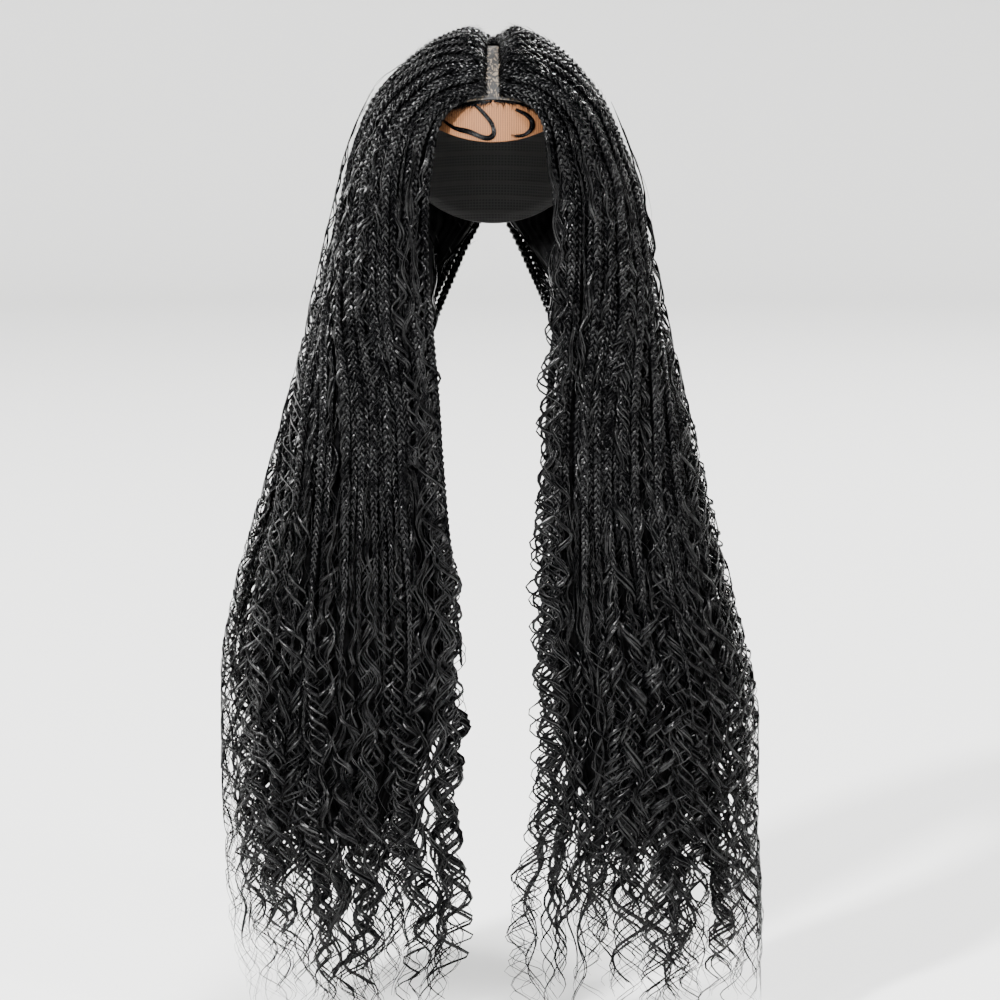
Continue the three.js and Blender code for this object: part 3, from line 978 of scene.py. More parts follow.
@dataclass
class Plaits:
    """The braids of one side, each plaited from three strands."""

    sheet: Sheet
    hair: bpy.types.Material
    seed: int
    per_side: int = 14
    half_width: float = 2.55 * MM
    half_depth: float = 1.75 * MM
    strand_wide: float = 1.85 * MM
    strand_thick: float = 1.65 * MM
    period: float = 18 * MM
    full_row: float = 8.5
    tails: tuple[float, ...] = (10.6, 11.0, 10.3, 10.9, 11.2, 10.4, 10.8)
    samples: int = 232
    sides: int = 4
    dive: float = 1.8 * MM
    dive_rows: float = 0.28
    deep_places: tuple[float, ...] = (
        0.76, 1.25, 1.76, 2.25, 2.76, 3.25, 4.25, 5.25, 6.25, 7.25, 8.25, 9.5, 11.25, 12.75,
    )

    def bundle(
        self,
        share: Array,
        first: Array,
        last: Array,
        depth: tuple[float, float],
        samples: int,
        sides: int,
    ) -> list[Bundle]:
        """Plaits braids along columns of the sheet.

        A strand's way across is a sine of the length over the period and its way out is a sine of
        twice that angle; the three strands are a third of a turn apart. The plait slowly turns
        about itself and wanders a little to each side.

        Args:
            share: each braid's place round the sheet, of shape (braids,).
            first: first rows.
            last: last rows.
            depth: how far under the sheet the braids lie at the parting and further down.
            samples: points along each braid.
            sides: corners round each strand.

        Returns:
            One bundle of three strands for each braid.
        """
        rng = np.random.default_rng(self.seed + samples)
        rows = even_rows(self.sheet, share, first, last, samples)
        rough_way = np.broadcast_to(np.linspace(0, 0.6, samples), rows.shape)
        fade = np.clip(rows / 5, 0, 1)
        drift = 0.0035 * wander(rng, rough_way, (0.31, 0.17)) * fade
        path, out, across = self.sheet.at(share[:, None] + drift, rows)
        sink = depth[0] + (depth[1] - depth[0]) * np.clip(rows / 1.6, 0, 1)
        begun = np.clip((rows - first[:, None]) / self.dive_rows, 0, 1)
        dive = self.dive * (1 - begun) ** 2 * np.where(first > 0.2, 1.0, 0.25)[:, None]
        lift = 1.2 * MM * wander(rng, rough_way, (0.23, 0.13)) * fade - sink - dive
        path = path + out * lift[..., None]
        way = lengths(path)
        along = unit(np.gradient(path, axis=1))
        beside = unit(np.cross(along, out))
        rise = np.cross(beside, along)
        turn = 0.6 * wander(rng, way, (0.29, 0.41)) * fade
        cosine, sine = np.cos(turn)[..., None], np.sin(turn)[..., None]
        beside, rise = beside * cosine + rise * sine, rise * cosine - beside * sine
        last_row = last[:, None]
        fade_out = np.clip((rows - self.full_row) / (last_row - self.full_row), 0, 1)
        size = (0.9 + 0.12 * np.clip(rows / 1.2, 0, 1)) * (1 - 0.68 * fade_out**1.3)
        size = size * (1 + 0.06 * wander(rng, way, (0.07, 0.11)))
        start = rng.uniform(0, FULL_TURN, (len(share), 1))
        found = []
        base = FULL_TURN * way / self.period + start
        strands = []
        for k in range(3):
            angle = base + FULL_TURN * k / 3
            strands.append(
                path
                + beside * (self.half_width * size * np.sin(angle))[..., None]
                + rise * (self.half_depth * size * np.sin(2 * angle))[..., None]
            )
        end = np.ones_like(size)
        end[:, 0] = end[:, -1] = 0.15
        for b in range(len(share)):
            three = np.stack([s[b] for s in strands])
            outs = np.broadcast_to(rise[b], three.shape)
            wide = np.broadcast_to(self.strand_wide * size[b] * end[b], three.shape[:2])
            thick = np.broadcast_to(self.strand_thick * size[b] * end[b], three.shape[:2])
            found.append(sweep(three, outs, wide, thick, sides, rng.uniform(0, 1, 3)))
        return found

    def build(self) -> list[bpy.types.Object]:
        """Builds each outer braid in its solid's place, and the braids between and under them.

        Returns:
            The pieces.
        """
        count = self.per_side
        word = self.sheet.side.word
        index = np.arange(count)
        share = (index + 0.5) / count
        first = (index % 2).astype(float)
        last = np.array([self.tails[i % len(self.tails)] for i in index])
        pieces = []
        outer = self.bundle(share, first * 0.75, last, (0.0, 0.0), self.samples, self.sides)
        for i, bundle in enumerate(outer):
            label = f"{word}_{i + 1:02d}"
            piece = strand_mesh("plait_" + label, [bundle], self.hair)
            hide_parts("braid_" + label)
            pieces.append(piece)
        more = np.arange(count + 1)
        share = np.clip(more / count, 0.006, 0.986)
        first = np.zeros(count + 1)
        last = np.array([self.tails[(i + 3) % len(self.tails)] for i in more])
        last = last - np.where(more % 3 == 1, 3.4, 0.3)
        between_ones = self.bundle(share, first, last, (1.0 * MM, 2.2 * MM), self.samples - 36, 3)
        deep = np.array(self.deep_places) / count
        starts, ends = 1.6 + 0.5 * (index % 3), 9.4 + 0.45 * (index % 4)
        deep_ones = self.bundle(deep, starts - 1.2, ends, (3.2 * MM, 4.0 * MM), 136, 3)
        half = count // 2
        groups = {"front": between_ones[:half], "back": between_ones[half:], "deep": deep_ones}
        for label, part in groups.items():
            name = f"plaits_between_{word}_{label}"
            pieces.append(strand_mesh(name, part, self.hair))
        return pieces


class Clumps(NamedTuple):
    """Where the locks of one layer hang, and what each is made of."""

    share: Array
    first: Array
    last: Array
    depth: Array
    strands: int
    swing: float
    spread: float
    size: float
    stray: float = 0.16


@dataclass
class Curls:
    """The loose wavy locks of one side: helices round columns of the sheet, of several strands each."""

    sheet: Sheet
    hair: bpy.types.Material
    seed: int
    wave: float = CURL_WAVE
    wide: float = 1.7 * MM
    thick: float = 0.7 * MM
    step: float = 5.3 * MM
    sides: int = 3
    mass_middle: float = 126 * MM
    spread_row: float = 12.3
    hang_row: float = 12.8
    hang: float = 15 * MM
    # Each side's spread in a row, and its widest place.
    spreads: dict[Side, tuple[float, float]] = field(
        default_factory=lambda: {Side.LEFT: (0.14, 236 * MM), Side.RIGHT: (0.2, 231 * MM)}
    )

    def bundle(self, clumps: Clumps) -> Bundle:
        """Winds clumps of strands round columns of the sheet.

        A clump is a helix whose swing grows from nothing to its full size, flatter outwards than
        across. Its strands keep near it, a little out of step with it, draw together towards the
        tip and thin out there.

        Args:
            clumps: the layer's clumps.

        Returns:
            The strands.
        """
        share, first, last, depth, strands, swing_size, spread, size, stray = clumps
        count = len(share)
        rng = np.random.default_rng(self.seed + count + 7 * strands)
        span = HAIR.length * float(np.mean(last - first)) / 8.2
        samples = max(int(span / self.step), 12)
        whole = np.broadcast_to(np.linspace(0, span, samples), (count, samples))
        pitch = rng.uniform(0.92, 1.4, (count, 1)) * self.wave
        turn = FULL_TURN * whole / pitch + rng.uniform(0, FULL_TURN, (count, 1))
        turn = turn + 0.7 * wander(rng, whole, (0.19, 0.31))
        reach = swing_size * rng.uniform(0.4, 1.25, (count, 1))
        reach = reach * (1 + 0.3 * wander(rng, whole, (0.11, 0.17)))
        hand = np.where(rng.uniform(0, 1, (count, 1)) < 0.5, -1.0, 1.0)
        drift = 0.014 * wander(rng, whole, (0.33, 0.21))
        lock = np.repeat(np.arange(count), strands)
        n = len(lock)
        ends = np.minimum(last[lock], 14.15) - 0.7 * rng.uniform(0, 1, n) ** 2
        rows = even_rows(self.sheet, share[lock], first[lock], ends, samples)
        path, out, across = self.sheet.at(share[lock, None] + drift[lock], rows)
        t = np.linspace(0, 1, samples)[None]
        grow = np.clip(t * 3.4, 0.1, 1) * (1 + 0.1 * t)
        angle = turn[lock] + rng.normal(0, stray, (n, 1))
        angle = angle + 1.6 * stray * wander(rng, whole[lock], (0.12, 0.2))
        swing = reach[lock] * grow * rng.uniform(0.85, 1.15, (n, 1))
        around = rng.uniform(0, FULL_TURN, (n, 1)) + 1.5 * wander(rng, whole[lock], (0.16, 0.25))
        apart = spread * np.sqrt(rng.uniform(0.05, 1, (n, 1))) * (1 - 0.55 * t)
        sideways = swing * np.sin(angle) + apart * np.cos(around)
        outward = 0.7 * swing * np.cos(angle) * hand[lock] + 0.7 * apart * np.sin(around)
        stand = outward - depth[lock, None]
        most = 2.5 * MM + 4.5 * MM * np.abs(out[..., 0])
        stand = stand - 0.8 * np.maximum(stand - most, 0)
        path = self.ended(path + across * sideways[..., None] + out * stand[..., None], rows)
        taper = np.clip((1 - t) * 3.2, 0, 1) ** 0.8 * 0.88 + 0.12
        taper = taper * np.clip(t * 12 + 0.2, 0, 1) * size * rng.uniform(0.6, 1.25, (n, 1))
        twist = 0.5 * np.sin(angle) + 0.5 * wander(rng, whole[lock], (0.09, 0.14))
        lean = out * np.cos(twist)[..., None] + across * np.sin(twist)[..., None]
        tone = np.clip(rng.uniform(0, 1, count)[lock] + rng.normal(0, 0.15, n), 0, 1)
        return sweep(path, lean, self.wide * taper, self.thick * taper, self.sides, tone)

    def ended(self, path: Array, rows: Array) -> Array:
        """Lets the locks hang past the sheet's last row and spread from their mass's middle there.

        Args:
            path: points of shape (strands, samples, 3).
            rows: their row numbers.

        Returns:
            The points, lower by a straight share of the rows past the hanging row and further from
            the middle by one of those past the spreading row. What would swing past the widest
            place is drawn back.
        """
        side = self.sheet.side.value
        wider, widest = self.spreads[self.sheet.side]
        x = path[..., 0] * side
        x = x + (x - self.mass_middle) * wider * np.clip(rows - self.spread_row, 0, 1.7)
        moved = path.copy()
        moved[..., 0] = (x - 0.75 * np.maximum(x - widest, 0)) * side
        moved[..., 2] = path[..., 2] - self.hang * np.clip(rows - self.hang_row, 0, None)
        return moved

    def loops(self, rng: np.random.Generator) -> Clumps:
        """Spreads clumps whose strands swing together beyond the edges, with gaps between.

        Args:
            rng: the source of the random numbers.

        Returns:
            Eight clumps at the side edge, then five at the inner one.
        """
        side, inner = 8, 5
        count = side + inner
        share = np.concatenate([rng.uniform(0.4, 0.62, side), rng.uniform(0.0, 0.05, inner)])
        first = np.concatenate([rng.uniform(2.5, 9.0, side), np.linspace(4.2, 8.0, inner)])
        last = rng.uniform(12.8, 14.4, count)
        depth = rng.uniform(-8, -3, count) * MM
        return Clumps(share, first, last, depth, 3, 9 * MM, 1.5 * MM, 0.75, 0.03)

    def layer(
        self,
        rng: np.random.Generator,
        count: int,
        first: tuple[float, float],
        last: tuple[float, float],
        depth: tuple[float, float],
        **sizes: float,
    ) -> Clumps:
        """Spreads clumps evenly round the sheet with random ends and depths.

        Args:
            rng: the source of the random numbers.
            count: how many clumps.
            first: least and most first row.
            last: least and most last row.
            depth: least and most depth under the sheet, in millimetres.
            sizes: the clumps' strands, swing, spread, size and stray.

        Returns:
            The layer's clumps.
        """
        share = 0.01 + 0.97 * (np.arange(count) + rng.uniform(0.1, 0.9, count)) / count
        start, end, under = (rng.uniform(*limits, count) for limits in (first, last, depth))
        return Clumps(share, start, end, under * MM, **sizes)

    def thinned(self, clumps: Clumps) -> Clumps:
        """Leaves out every other clump at the side, so that gaps show there.

        Args:
            clumps: a layer.

        Returns:
            The layer without them.
        """
        at_side = (clumps.share > 0.44) & (clumps.share < 0.6)
        keep = ~(at_side & (np.arange(len(clumps.share)) % 2 == 0))
        kept = {label: getattr(clumps, label)[keep] for label in ("share", "first", "last", "depth")}
        return clumps._replace(**kept)

    def build(self) -> list[bpy.types.Object]:
        """Builds the lower locks, those deep inside, those between the braids, thin ones and loops.

        Returns:
            The pieces.
        """
        rng = np.random.default_rng(self.seed)
        low = self.layer(
            rng, 54, (7.6, 10.2), (13.2, 14.8), (-1, 8),
            strands=4, swing=7 * MM, spread=2.5 * MM, size=0.95, stray=0.07,
        )
        deep = self.layer(
            rng, 13, (9.4, 10.8), (12.8, 14.4), (14, 40),
            strands=4, swing=8 * MM, spread=2.6 * MM, size=1.6, stray=0.06,
        )
        high = self.layer(
            rng, 22, (3.0, 6.2), (8.4, 10.2), (-1, 2),
            strands=4, swing=4.2 * MM, spread=3 * MM, size=0.9, stray=0.05,
        )
        fine = self.layer(
            rng, 22, (8.5, 11.0), (13.4, 14.8), (-3, 5),
            strands=2, swing=8.5 * MM, spread=4 * MM, size=0.42, stray=0.1,
        )
        loops = self.loops(rng)
        layers = {"low": self.thinned(low), "deep": deep, "high": high, "fine": fine, "loops": loops}
        word = self.sheet.side.word
        return [
            strand_mesh(f"locks_{name}_{word}", [self.bundle(clumps)], self.hair)
            for name, clumps in layers.items()
        ]


@dataclass
class HairCore:
    """The dark inner body of hair that the braids and locks of one side hang on."""

    sheet: Sheet
    hair: bpy.types.Material
    lock_hair: bpy.types.Material
    locks: int = 14
    places: int = 90
    inner: int = 28
    rows: int = 84
    first_row: float = 0.12
    last_row: float = 12.5
    close_row: float = 10.4
    close: float = 0.8
    depth: float = 9 * MM
    chord_over: float = 0.42
    chord_below: float = 0.21
    ribs: int = 42

    def skin(self) -> tuple[Array, Array]:
        """Works out a closed skin: the hair sheet moved in, and a rippled face between its edges.

        Returns:
            Rings of points of shape (rows, places + inner, 3), the inner face last, and their rows.
        """
        row = np.linspace(self.first_row, self.last_row, self.rows)[:, None]
        share = np.linspace(0, 1, self.places)[None]
        rows, shares = np.broadcast_arrays(row, share)
        path, out, _ = self.sheet.at(shares, rows)
        inset = self.depth * (np.clip(0.45 + rows / 3.5, 0, 1) + 0.5 * np.clip((rows - 8) / 3, 0, 1))
        ripple = np.sin(FULL_TURN * shares * self.ribs + 0.5 * np.sin(rows * 2.1 + 9 * shares))
        swell = np.sin(rows * 9.0 + 3 * np.sin(shares * 31)) * np.clip(rows / 5 - 0.8, 0, 1)
        outer = path + out * (1.5 * MM * ripple + 1.3 * MM * swell - inset)[..., None]
        over = row[:, 0] < len(OVER_HEAD) - 0.5
        depth = HEAD.half_width * np.where(over, self.chord_over, self.chord_below)[:, None]
        back, front = path[:, -1] - out[:, -1] * depth, path[:, 0] - out[:, 0] * depth
        t = np.linspace(0, 1, self.inner + 2)[None, 1:-1, None]
        face = back[:, None] * (1 - t) + front[:, None] * t
        away = unit(face - outer.mean(axis=1, keepdims=True))
        wave = np.sin(FULL_TURN * t * 14 + 0.6 * np.sin(row[..., None] * 2.3))
        face = face + away * (3 * MM * wave)
        ring = np.concatenate([outer, face], axis=1)
        ring = HEAD.clear(ring, CAP_WALL + CLEARANCE)
        ending = np.clip((row - self.close_row) / (self.last_row - self.close_row), 0, 1)[..., None]
        ring = ring + (ring.mean(axis=1, keepdims=True) - ring) * self.close * ending**2
        return self.behind_edge(self.beside_parting(ring), row), row[:, 0]

    def build(self) -> list[bpy.types.Object]:
        """Builds the skin, which stands for the hair body's solid, and the locks on its inner face.

        Returns:
            Both pieces.
        """
        ring, row = self.skin()
        turned = ring[:, ::-1] if self.sheet.side is Side.LEFT else ring
        bundle = Bundle(turned[None], np.array([0.2]), row[None] * 0.06)
        piece = strand_mesh(f"hair_core_{self.sheet.side.word}", [bundle], self.hair)
        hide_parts(f"hair_body_{self.sheet.side.word}")
        return [piece, self.inner_locks(ring, row)]

    def inner_locks(self, ring: Array, row: Array) -> bpy.types.Object:
        """Builds flat wavy locks down the inner face.

        A lock follows a column of the face. It swings across by a sine of its length and lifts by
        the cosine.

        Args:
            ring: the skin's rings.
            row: their rows.

        Returns:
            The piece.
        """
        rng = np.random.default_rng(300 + self.sheet.side.value)
        count, samples = self.locks, 130
        share = (np.arange(count) + rng.uniform(0.2, 0.8, count)) / count
        column = self.places + share * (self.inner - 1)
        place = np.interp(np.linspace(6.3, self.last_row - 0.3, samples), row, np.arange(self.rows))
        i = np.minimum(place.astype(int), self.rows - 2)
        f = (place - i)[:, None, None]
        rings = ring[i] * (1 - f) + ring[i + 1] * f
        j = np.minimum(column.astype(int), self.places + self.inner - 2)
        g = (column - j)[None, :, None]
        path = (rings[:, j] * (1 - g) + rings[:, j + 1] * g).transpose(1, 0, 2)
        across = unit(rings[:, j + 1] - rings[:, j]).transpose(1, 0, 2)
        out = unit(np.cross(unit(np.gradient(path, axis=1)), across))
        away = path - rings.mean(axis=1)[None]
        out = out * np.sign(np.sum(out * away, axis=-1, keepdims=True))
        way = lengths(path)
        angle = FULL_TURN * way / (rng.uniform(0.9, 1.3, (count, 1)) * CURL_WAVE)
        angle = angle + rng.uniform(0, 6.3, (count, 1))
        angle = angle + 0.7 * wander(rng, way, (0.19, 0.31))
        swing = rng.uniform(3, 8, (count, 1)) * MM * np.sin(angle)
        lift = 2 * MM + 1.8 * MM * np.cos(angle)
        path = path + across * swing[..., None] + out * lift[..., None]
        path = HEAD.clear(path, CAP_WALL + CLEARANCE)
        taper = np.clip(np.linspace(0.2, 8, samples), 0, 1)[None] * rng.uniform(0.7, 1.2, (count, 1))
        bundle = sweep(path, out, 2.6 * MM * taper, 1 * MM * taper, 3, rng.uniform(0, 1, count))
        name = f"locks_inner_{self.sheet.side.word}"
        return strand_mesh(name, [bundle], self.lock_hair)

    def behind_edge(self, ring: Array, row: Array) -> Array:
        """Keeps the skin behind the inner edge's locks: the further down, the further from the edge.

        Args:
            ring: the skin's rings.
            row: their rows.

        Returns:
            The rings, moved off the edge.
        """
        side = self.sheet.side.value
        x = ring[..., 0] * side
        edge = x.min(axis=1, keepdims=True) + 11 * MM * np.clip((row - 5.6) / 1.6, 0, 1)
        kept = ring.copy()
        kept[..., 0] = np.maximum(x, edge + 0.12 * (x - x.min(axis=1, keepdims=True))) * side
        return kept

    def beside_parting(self, ring: Array) -> Array:
        """Keeps the skin out of the parting, and each side on its own side behind it.

        Args:
            ring: the skin's rings.

        Returns:
            The rings, moved off the middle.
        """
        x, y = ring[..., 0] * self.sheet.side.value, ring[..., 1]
        least = np.where((y < 24.6 * MM) & (ring[..., 2] > -60 * MM), 6.8 * MM, 0.4 * MM)
        kept = ring.copy()
        kept[..., 0] = np.maximum(x, least) * self.sheet.side.value
        return kept


@dataclass
class Flyaways:
    """Single hairs that stand off the outline of one side."""

    sheet: Sheet
    hair: bpy.types.Material
    seed: int
    count: int = 70
    samples: int = 26
    wave: float = 45 * MM

    def build(self) -> bpy.types.Object:
        """Builds thin waving hairs that drift out of the sheet.

        Returns:
            The piece.
        """
        rng = np.random.default_rng(self.seed)
        n = self.count
        share = rng.uniform(0, 1, n)
        first = rng.uniform(2.5, 11.5, n)
        last = np.minimum(first + rng.uniform(1.0, 2.4, n), 14)
        rows = even_rows(self.sheet, share, first, last, self.samples)
        way = np.broadcast_to(np.linspace(0, 0.2, self.samples), rows.shape)
        place = share[:, None] + 0.02 * wander(rng, way, (0.19, 0.13))
        path, out, across = self.sheet.at(place, rows)
        t = np.linspace(0, 1, self.samples)[None]
        stand = rng.uniform(2, 11, (n, 1)) * MM * np.sin(math.pi * t) ** 0.7
        stand = stand * (0.35 + 0.55 * np.abs(out[..., 0]))
        reach = rng.uniform(2, 6, (n, 1)) * MM
        swing = reach * np.sin(FULL_TURN * way / self.wave + rng.uniform(0, 6, (n, 1)))
        path = path + out * stand[..., None] + across * swing[..., None]
        thick = 0.3 * MM * (1.05 - t) * np.ones((n, 1))
        bundle = sweep(path, out, thick, thick, 3, rng.uniform(0, 1, n))
        return strand_mesh(f"flyaways_{self.sheet.side.word}", [bundle], self.hair)


@dataclass
class Fuzz:
    """Short fine hairs that escape from the braids of one side."""

    sheet: Sheet
    hair: bpy.types.Material
    seed: int
    count: int = 520
    radius: float = 0.16 * MM

    def build(self) -> bpy.types.Object:
        """Builds short bent hairs that leave the sheet's surface at a low angle.

        A hair is a parabola: it runs along a slanted direction in the sheet and rises by the
        square of the length.

        Returns:
            The piece.
        """
        rng = np.random.default_rng(self.seed)
        n = self.count
        share = rng.uniform(0, 1, (n, 1))
        row = rng.uniform(0.1, 10.5, (n, 1))
        start, out, across = self.sheet.at(share, row)
        start, out, across = start[:, 0], out[:, 0], across[:, 0]
        down = np.cross(across, out) * -self.sheet.side.value
        lean = rng.normal(0, 0.8, (n, 1))
        way = unit(down * np.cos(lean) + across * np.sin(lean))
        t = np.linspace(0, 1, 5)[None, :, None]
        long = rng.uniform(5, 15, (n, 1, 1)) * MM
        rise = rng.uniform(0.3, 2.6, (n, 1, 1)) * MM
        bend = rng.normal(0, 3.0, (n, 1, 1)) * MM
        path = start[:, None] + out[:, None] * (3.4 * MM + rise * t**2) + way[:, None] * long * t
        path = path + np.cross(way, out)[:, None] * bend * t**2
        thick = self.radius * (1.1 - t[..., 0]) * np.ones((n, 1))
        outs = np.broadcast_to(out[:, None], path.shape)
        bundle = sweep(path, outs, thick, thick, 3, rng.uniform(0, 1, n))
        return strand_mesh(f"fuzz_{self.sheet.side.word}", [bundle], self.hair)


@dataclass
class Roots:
    """The short hair between the parting's edge and the braids of one side."""

    sheet: Sheet
    hair: bpy.types.Material
    seed: int
    count: int = 190

    def build(self) -> bpy.types.Object:
        """Builds thin hairs from the parting's edge up into the braids.

        A hair is a quadratic curve from the parting's surface to a point on the sheet.

        Returns:
            The piece.
        """
        rng = np.random.default_rng(self.seed)
        n = self.count
        share = rng.uniform(0, 1, (n, 1))
        beside = np.clip(share + rng.normal(0, 0.012, (n, 1)), 0, 1)
        ends, out, _ = self.sheet.at(beside, rng.uniform(0.2, 0.6, (n, 1)))
        foot, foot_out, _ = self.sheet.at(share, np.zeros((n, 1)))
        ends, out, foot = ends[:, 0] + 0.8 * MM * out[:, 0], foot_out[:, 0], foot[:, 0]
        x = rng.uniform(4.4, 6.9, n) * MM
        top = HEAD.top(x, foot[:, 1], CAP_WALL) + CLEARANCE + 1.1 * MM
        y = foot[:, 1] + rng.normal(0, 1.2, n) * MM
        start = np.stack([x * self.sheet.side.value, y, top], axis=1)
        middle = (start + ends) / 2 + out * rng.uniform(0.5, 2.5, (n, 1)) * MM
        t = np.linspace(0, 1, 5)[None, :, None]
        path = start[:, None] * (1 - t) ** 2 + middle[:, None] * 2 * t * (1 - t)
        path = path + ends[:, None] * t**2
        thick = np.broadcast_to(rng.uniform(0.3, 0.75, (n, 1)) * MM, path.shape[:2])
        outs = np.broadcast_to(out[:, None], path.shape)
        bundle = sweep(path, outs, thick, thick * 0.6, 3, rng.uniform(0, 1, n))
        return strand_mesh(f"roots_{self.sheet.side.word}", [bundle], self.hair)


@dataclass
class Crossing:
    """The hair that closes over the middle behind the parting's back end."""

    hair: bpy.types.Material
    seed: int = 77
    count: int = 150

    def build(self) -> bpy.types.Object:
        """Builds strands that sag between the two sides.

        A strand's height is a curve over its place along Y, less its own depth, and rises from the
        middle by the square of the way across.

        Returns:
            The piece.
        """
        rng = np.random.default_rng(self.seed)
        n = self.count
        t = np.linspace(-1, 1, 10)[None]
        y = rng.uniform(25, 70, (n, 1)) * MM + 5 * MM * rng.normal(0, 1, (n, 1)) * t
        x = rng.uniform(9, 18, (n, 1)) * MM * t + rng.normal(0, 1.5, (n, 1)) * MM
        crest = np.interp(y, np.array([24, 34, 45, 58, 72]) * MM, np.array([4.5, 7.5, 9, 6, -2]) * MM)
        z = crest - rng.uniform(0, 4, (n, 1)) * MM + 2.5 * MM * t**2
        path = np.stack([x, np.maximum(y, 24.8 * MM), z], axis=-1)
        out = np.zeros_like(path)
        out[..., 2] = 1
        thick = rng.uniform(0.4, 0.95, (n, 1)) * MM * np.sqrt(1.05 - t**2)
        bundle = sweep(path, out, thick * 1.3, thick, 3, rng.uniform(0, 1, n))
        return strand_mesh("crossing", [bundle], self.hair)


@dataclass
class EdgeHairs:
    """The two short locks laid in curves on the lace, and the soft hairs along its upper edge."""

    hair: bpy.types.Material
    seed: int = 51
    hairs: int = 26
    samples: int = 44
    half_width: float = 1.5 * MM
    radius: float = 0.36 * MM
    soft_hairs: int = 540

    def on_lace(self, x: Array, drop: Array, lift: Array) -> Array:
        """Finds points over the lace.

        Args:
            x: places across.
            drop: how far below the crown.
            lift: how far off the lace.

        Returns:
            Points with a last axis of 3.
        """
        return np.stack([x, HEAD.front(x, -drop, LACE_WALL + lift), -drop], axis=-1)

    def lock(self, side: Side) -> bpy.types.Object:
        """Builds one lock as a brush of fine hairs.

        Each hair keeps its own place across the lock and its own length. The lock is narrow at its
        root, widest past its middle, and its hairs fan out again at the tip.

        Args:
            side: which lock.

        Returns:
            The piece, which stands for the lock's solid.
        """
        rng = np.random.default_rng(self.seed + side.value)
        n, m = self.hairs, self.samples
        knots = np.array(EDGE_ROUTES[side], float) * MM
        route = smooth_curve(knots, np.linspace(0, len(knots) - 1, 300))
        reach = rng.uniform(0.8, 1.0, (n, 1)) ** 0.7
        begin = rng.uniform(0, 0.03, (n, 1))
        t = begin + (reach - begin) * np.linspace(0, 1, m)[None]
        x, drop = (np.interp(t, np.linspace(0, 1, 300), route[:, k]) for k in (0, 1))
        slope = unit(np.gradient(route, axis=0))
        along_x, along_d = (np.interp(t, np.linspace(0, 1, 300), slope[:, k]) for k in (0, 1))
        swell = 0.45 + 0.75 * np.sin(math.pi * np.clip(t * 0.9 + 0.05, 0, 1))
        swell = swell + 1.3 * np.clip((t - 0.86) / 0.14, 0, 1) ** 2
        place = rng.uniform(-1, 1, (n, 1)) + 0.25 * wander(rng, t * 0.1, (0.05, 0.03))
        offset = self.half_width * swell * place
        x, drop = x - along_d * offset, drop + along_x * offset
        round_top = np.sqrt(np.clip(1 - place**2, 0, 1))
        lift = 0.45 * MM + 1.1 * MM * round_top * rng.uniform(0.1, 1, (n, 1))
        path = self.on_lace(x, drop, lift)
        thick = self.radius * np.clip((1 - np.linspace(0, 1, m)) * 5, 0.25, 1)[None] * np.ones((n, 1))
        out = unit(np.stack([x / HEAD.half_width**2, path[..., 1] / HEAD.half_length**2,
                             (HEAD.rise - drop) / HEAD.rise**2], axis=-1))
        bundle = sweep(path, out, thick * 1.3, thick, 4, rng.uniform(0, 1, n))
        piece = strand_mesh(f"edge_lock_{side.word}", [bundle], self.hair)
        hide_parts(f"edge_hair_{side.word}")
        return piece

    def soft_edge(self, head: "HeadPieces") -> bpy.types.Object:
        """Builds the soft short hairs that cover the seam between the lace and the cap.

        Most lie along the seam and lean away from the middle, and the rest point down on the lace.

        Args:
            head: what knows where the seam is.

        Returns:
            The piece.
        """
        rng = np.random.default_rng(self.seed)
        n = self.soft_hairs
        x = rng.uniform(-1, 1, (n, 1)) * 50 * MM
        flat = rng.uniform(0, 1, (n, 1)) < 0.6
        lean = np.where(flat, rng.uniform(1.25, 1.62, (n, 1)), rng.uniform(0.3, 1.2, (n, 1)))
        lean = np.sign(x) * lean + rng.normal(0, 0.16, (n, 1))
        long = rng.uniform(3, 9, (n, 1)) * MM * (1 + 0.6 * np.clip(-x / (40 * MM), 0, 1))
        t = np.linspace(0, 1, 5)[None]
        curl = rng.normal(0, 0.5, (n, 1))
        across = x + long * t * np.sin(lean + curl * t)
        edge_drop = -head.seam_height(across, LACE_WALL)
        drop = edge_drop + 0.4 * MM + rng.uniform(-0.4, 0.9, (n, 1)) * MM
        drop = drop + long * t * np.cos(lean + curl * t) * 0.8
        path = self.on_lace(across, drop, 0.3 * MM + 0.5 * MM * t)
        thick = rng.uniform(0.13, 0.42, (n, 1)) * MM * (1.1 - t)
        out = np.zeros_like(path)
        out[..., 1] = -1
        bundle = sweep(path, out, thick, thick, 3, rng.uniform(0, 1, n))
        return strand_mesh("soft_edge", [bundle], self.hair)


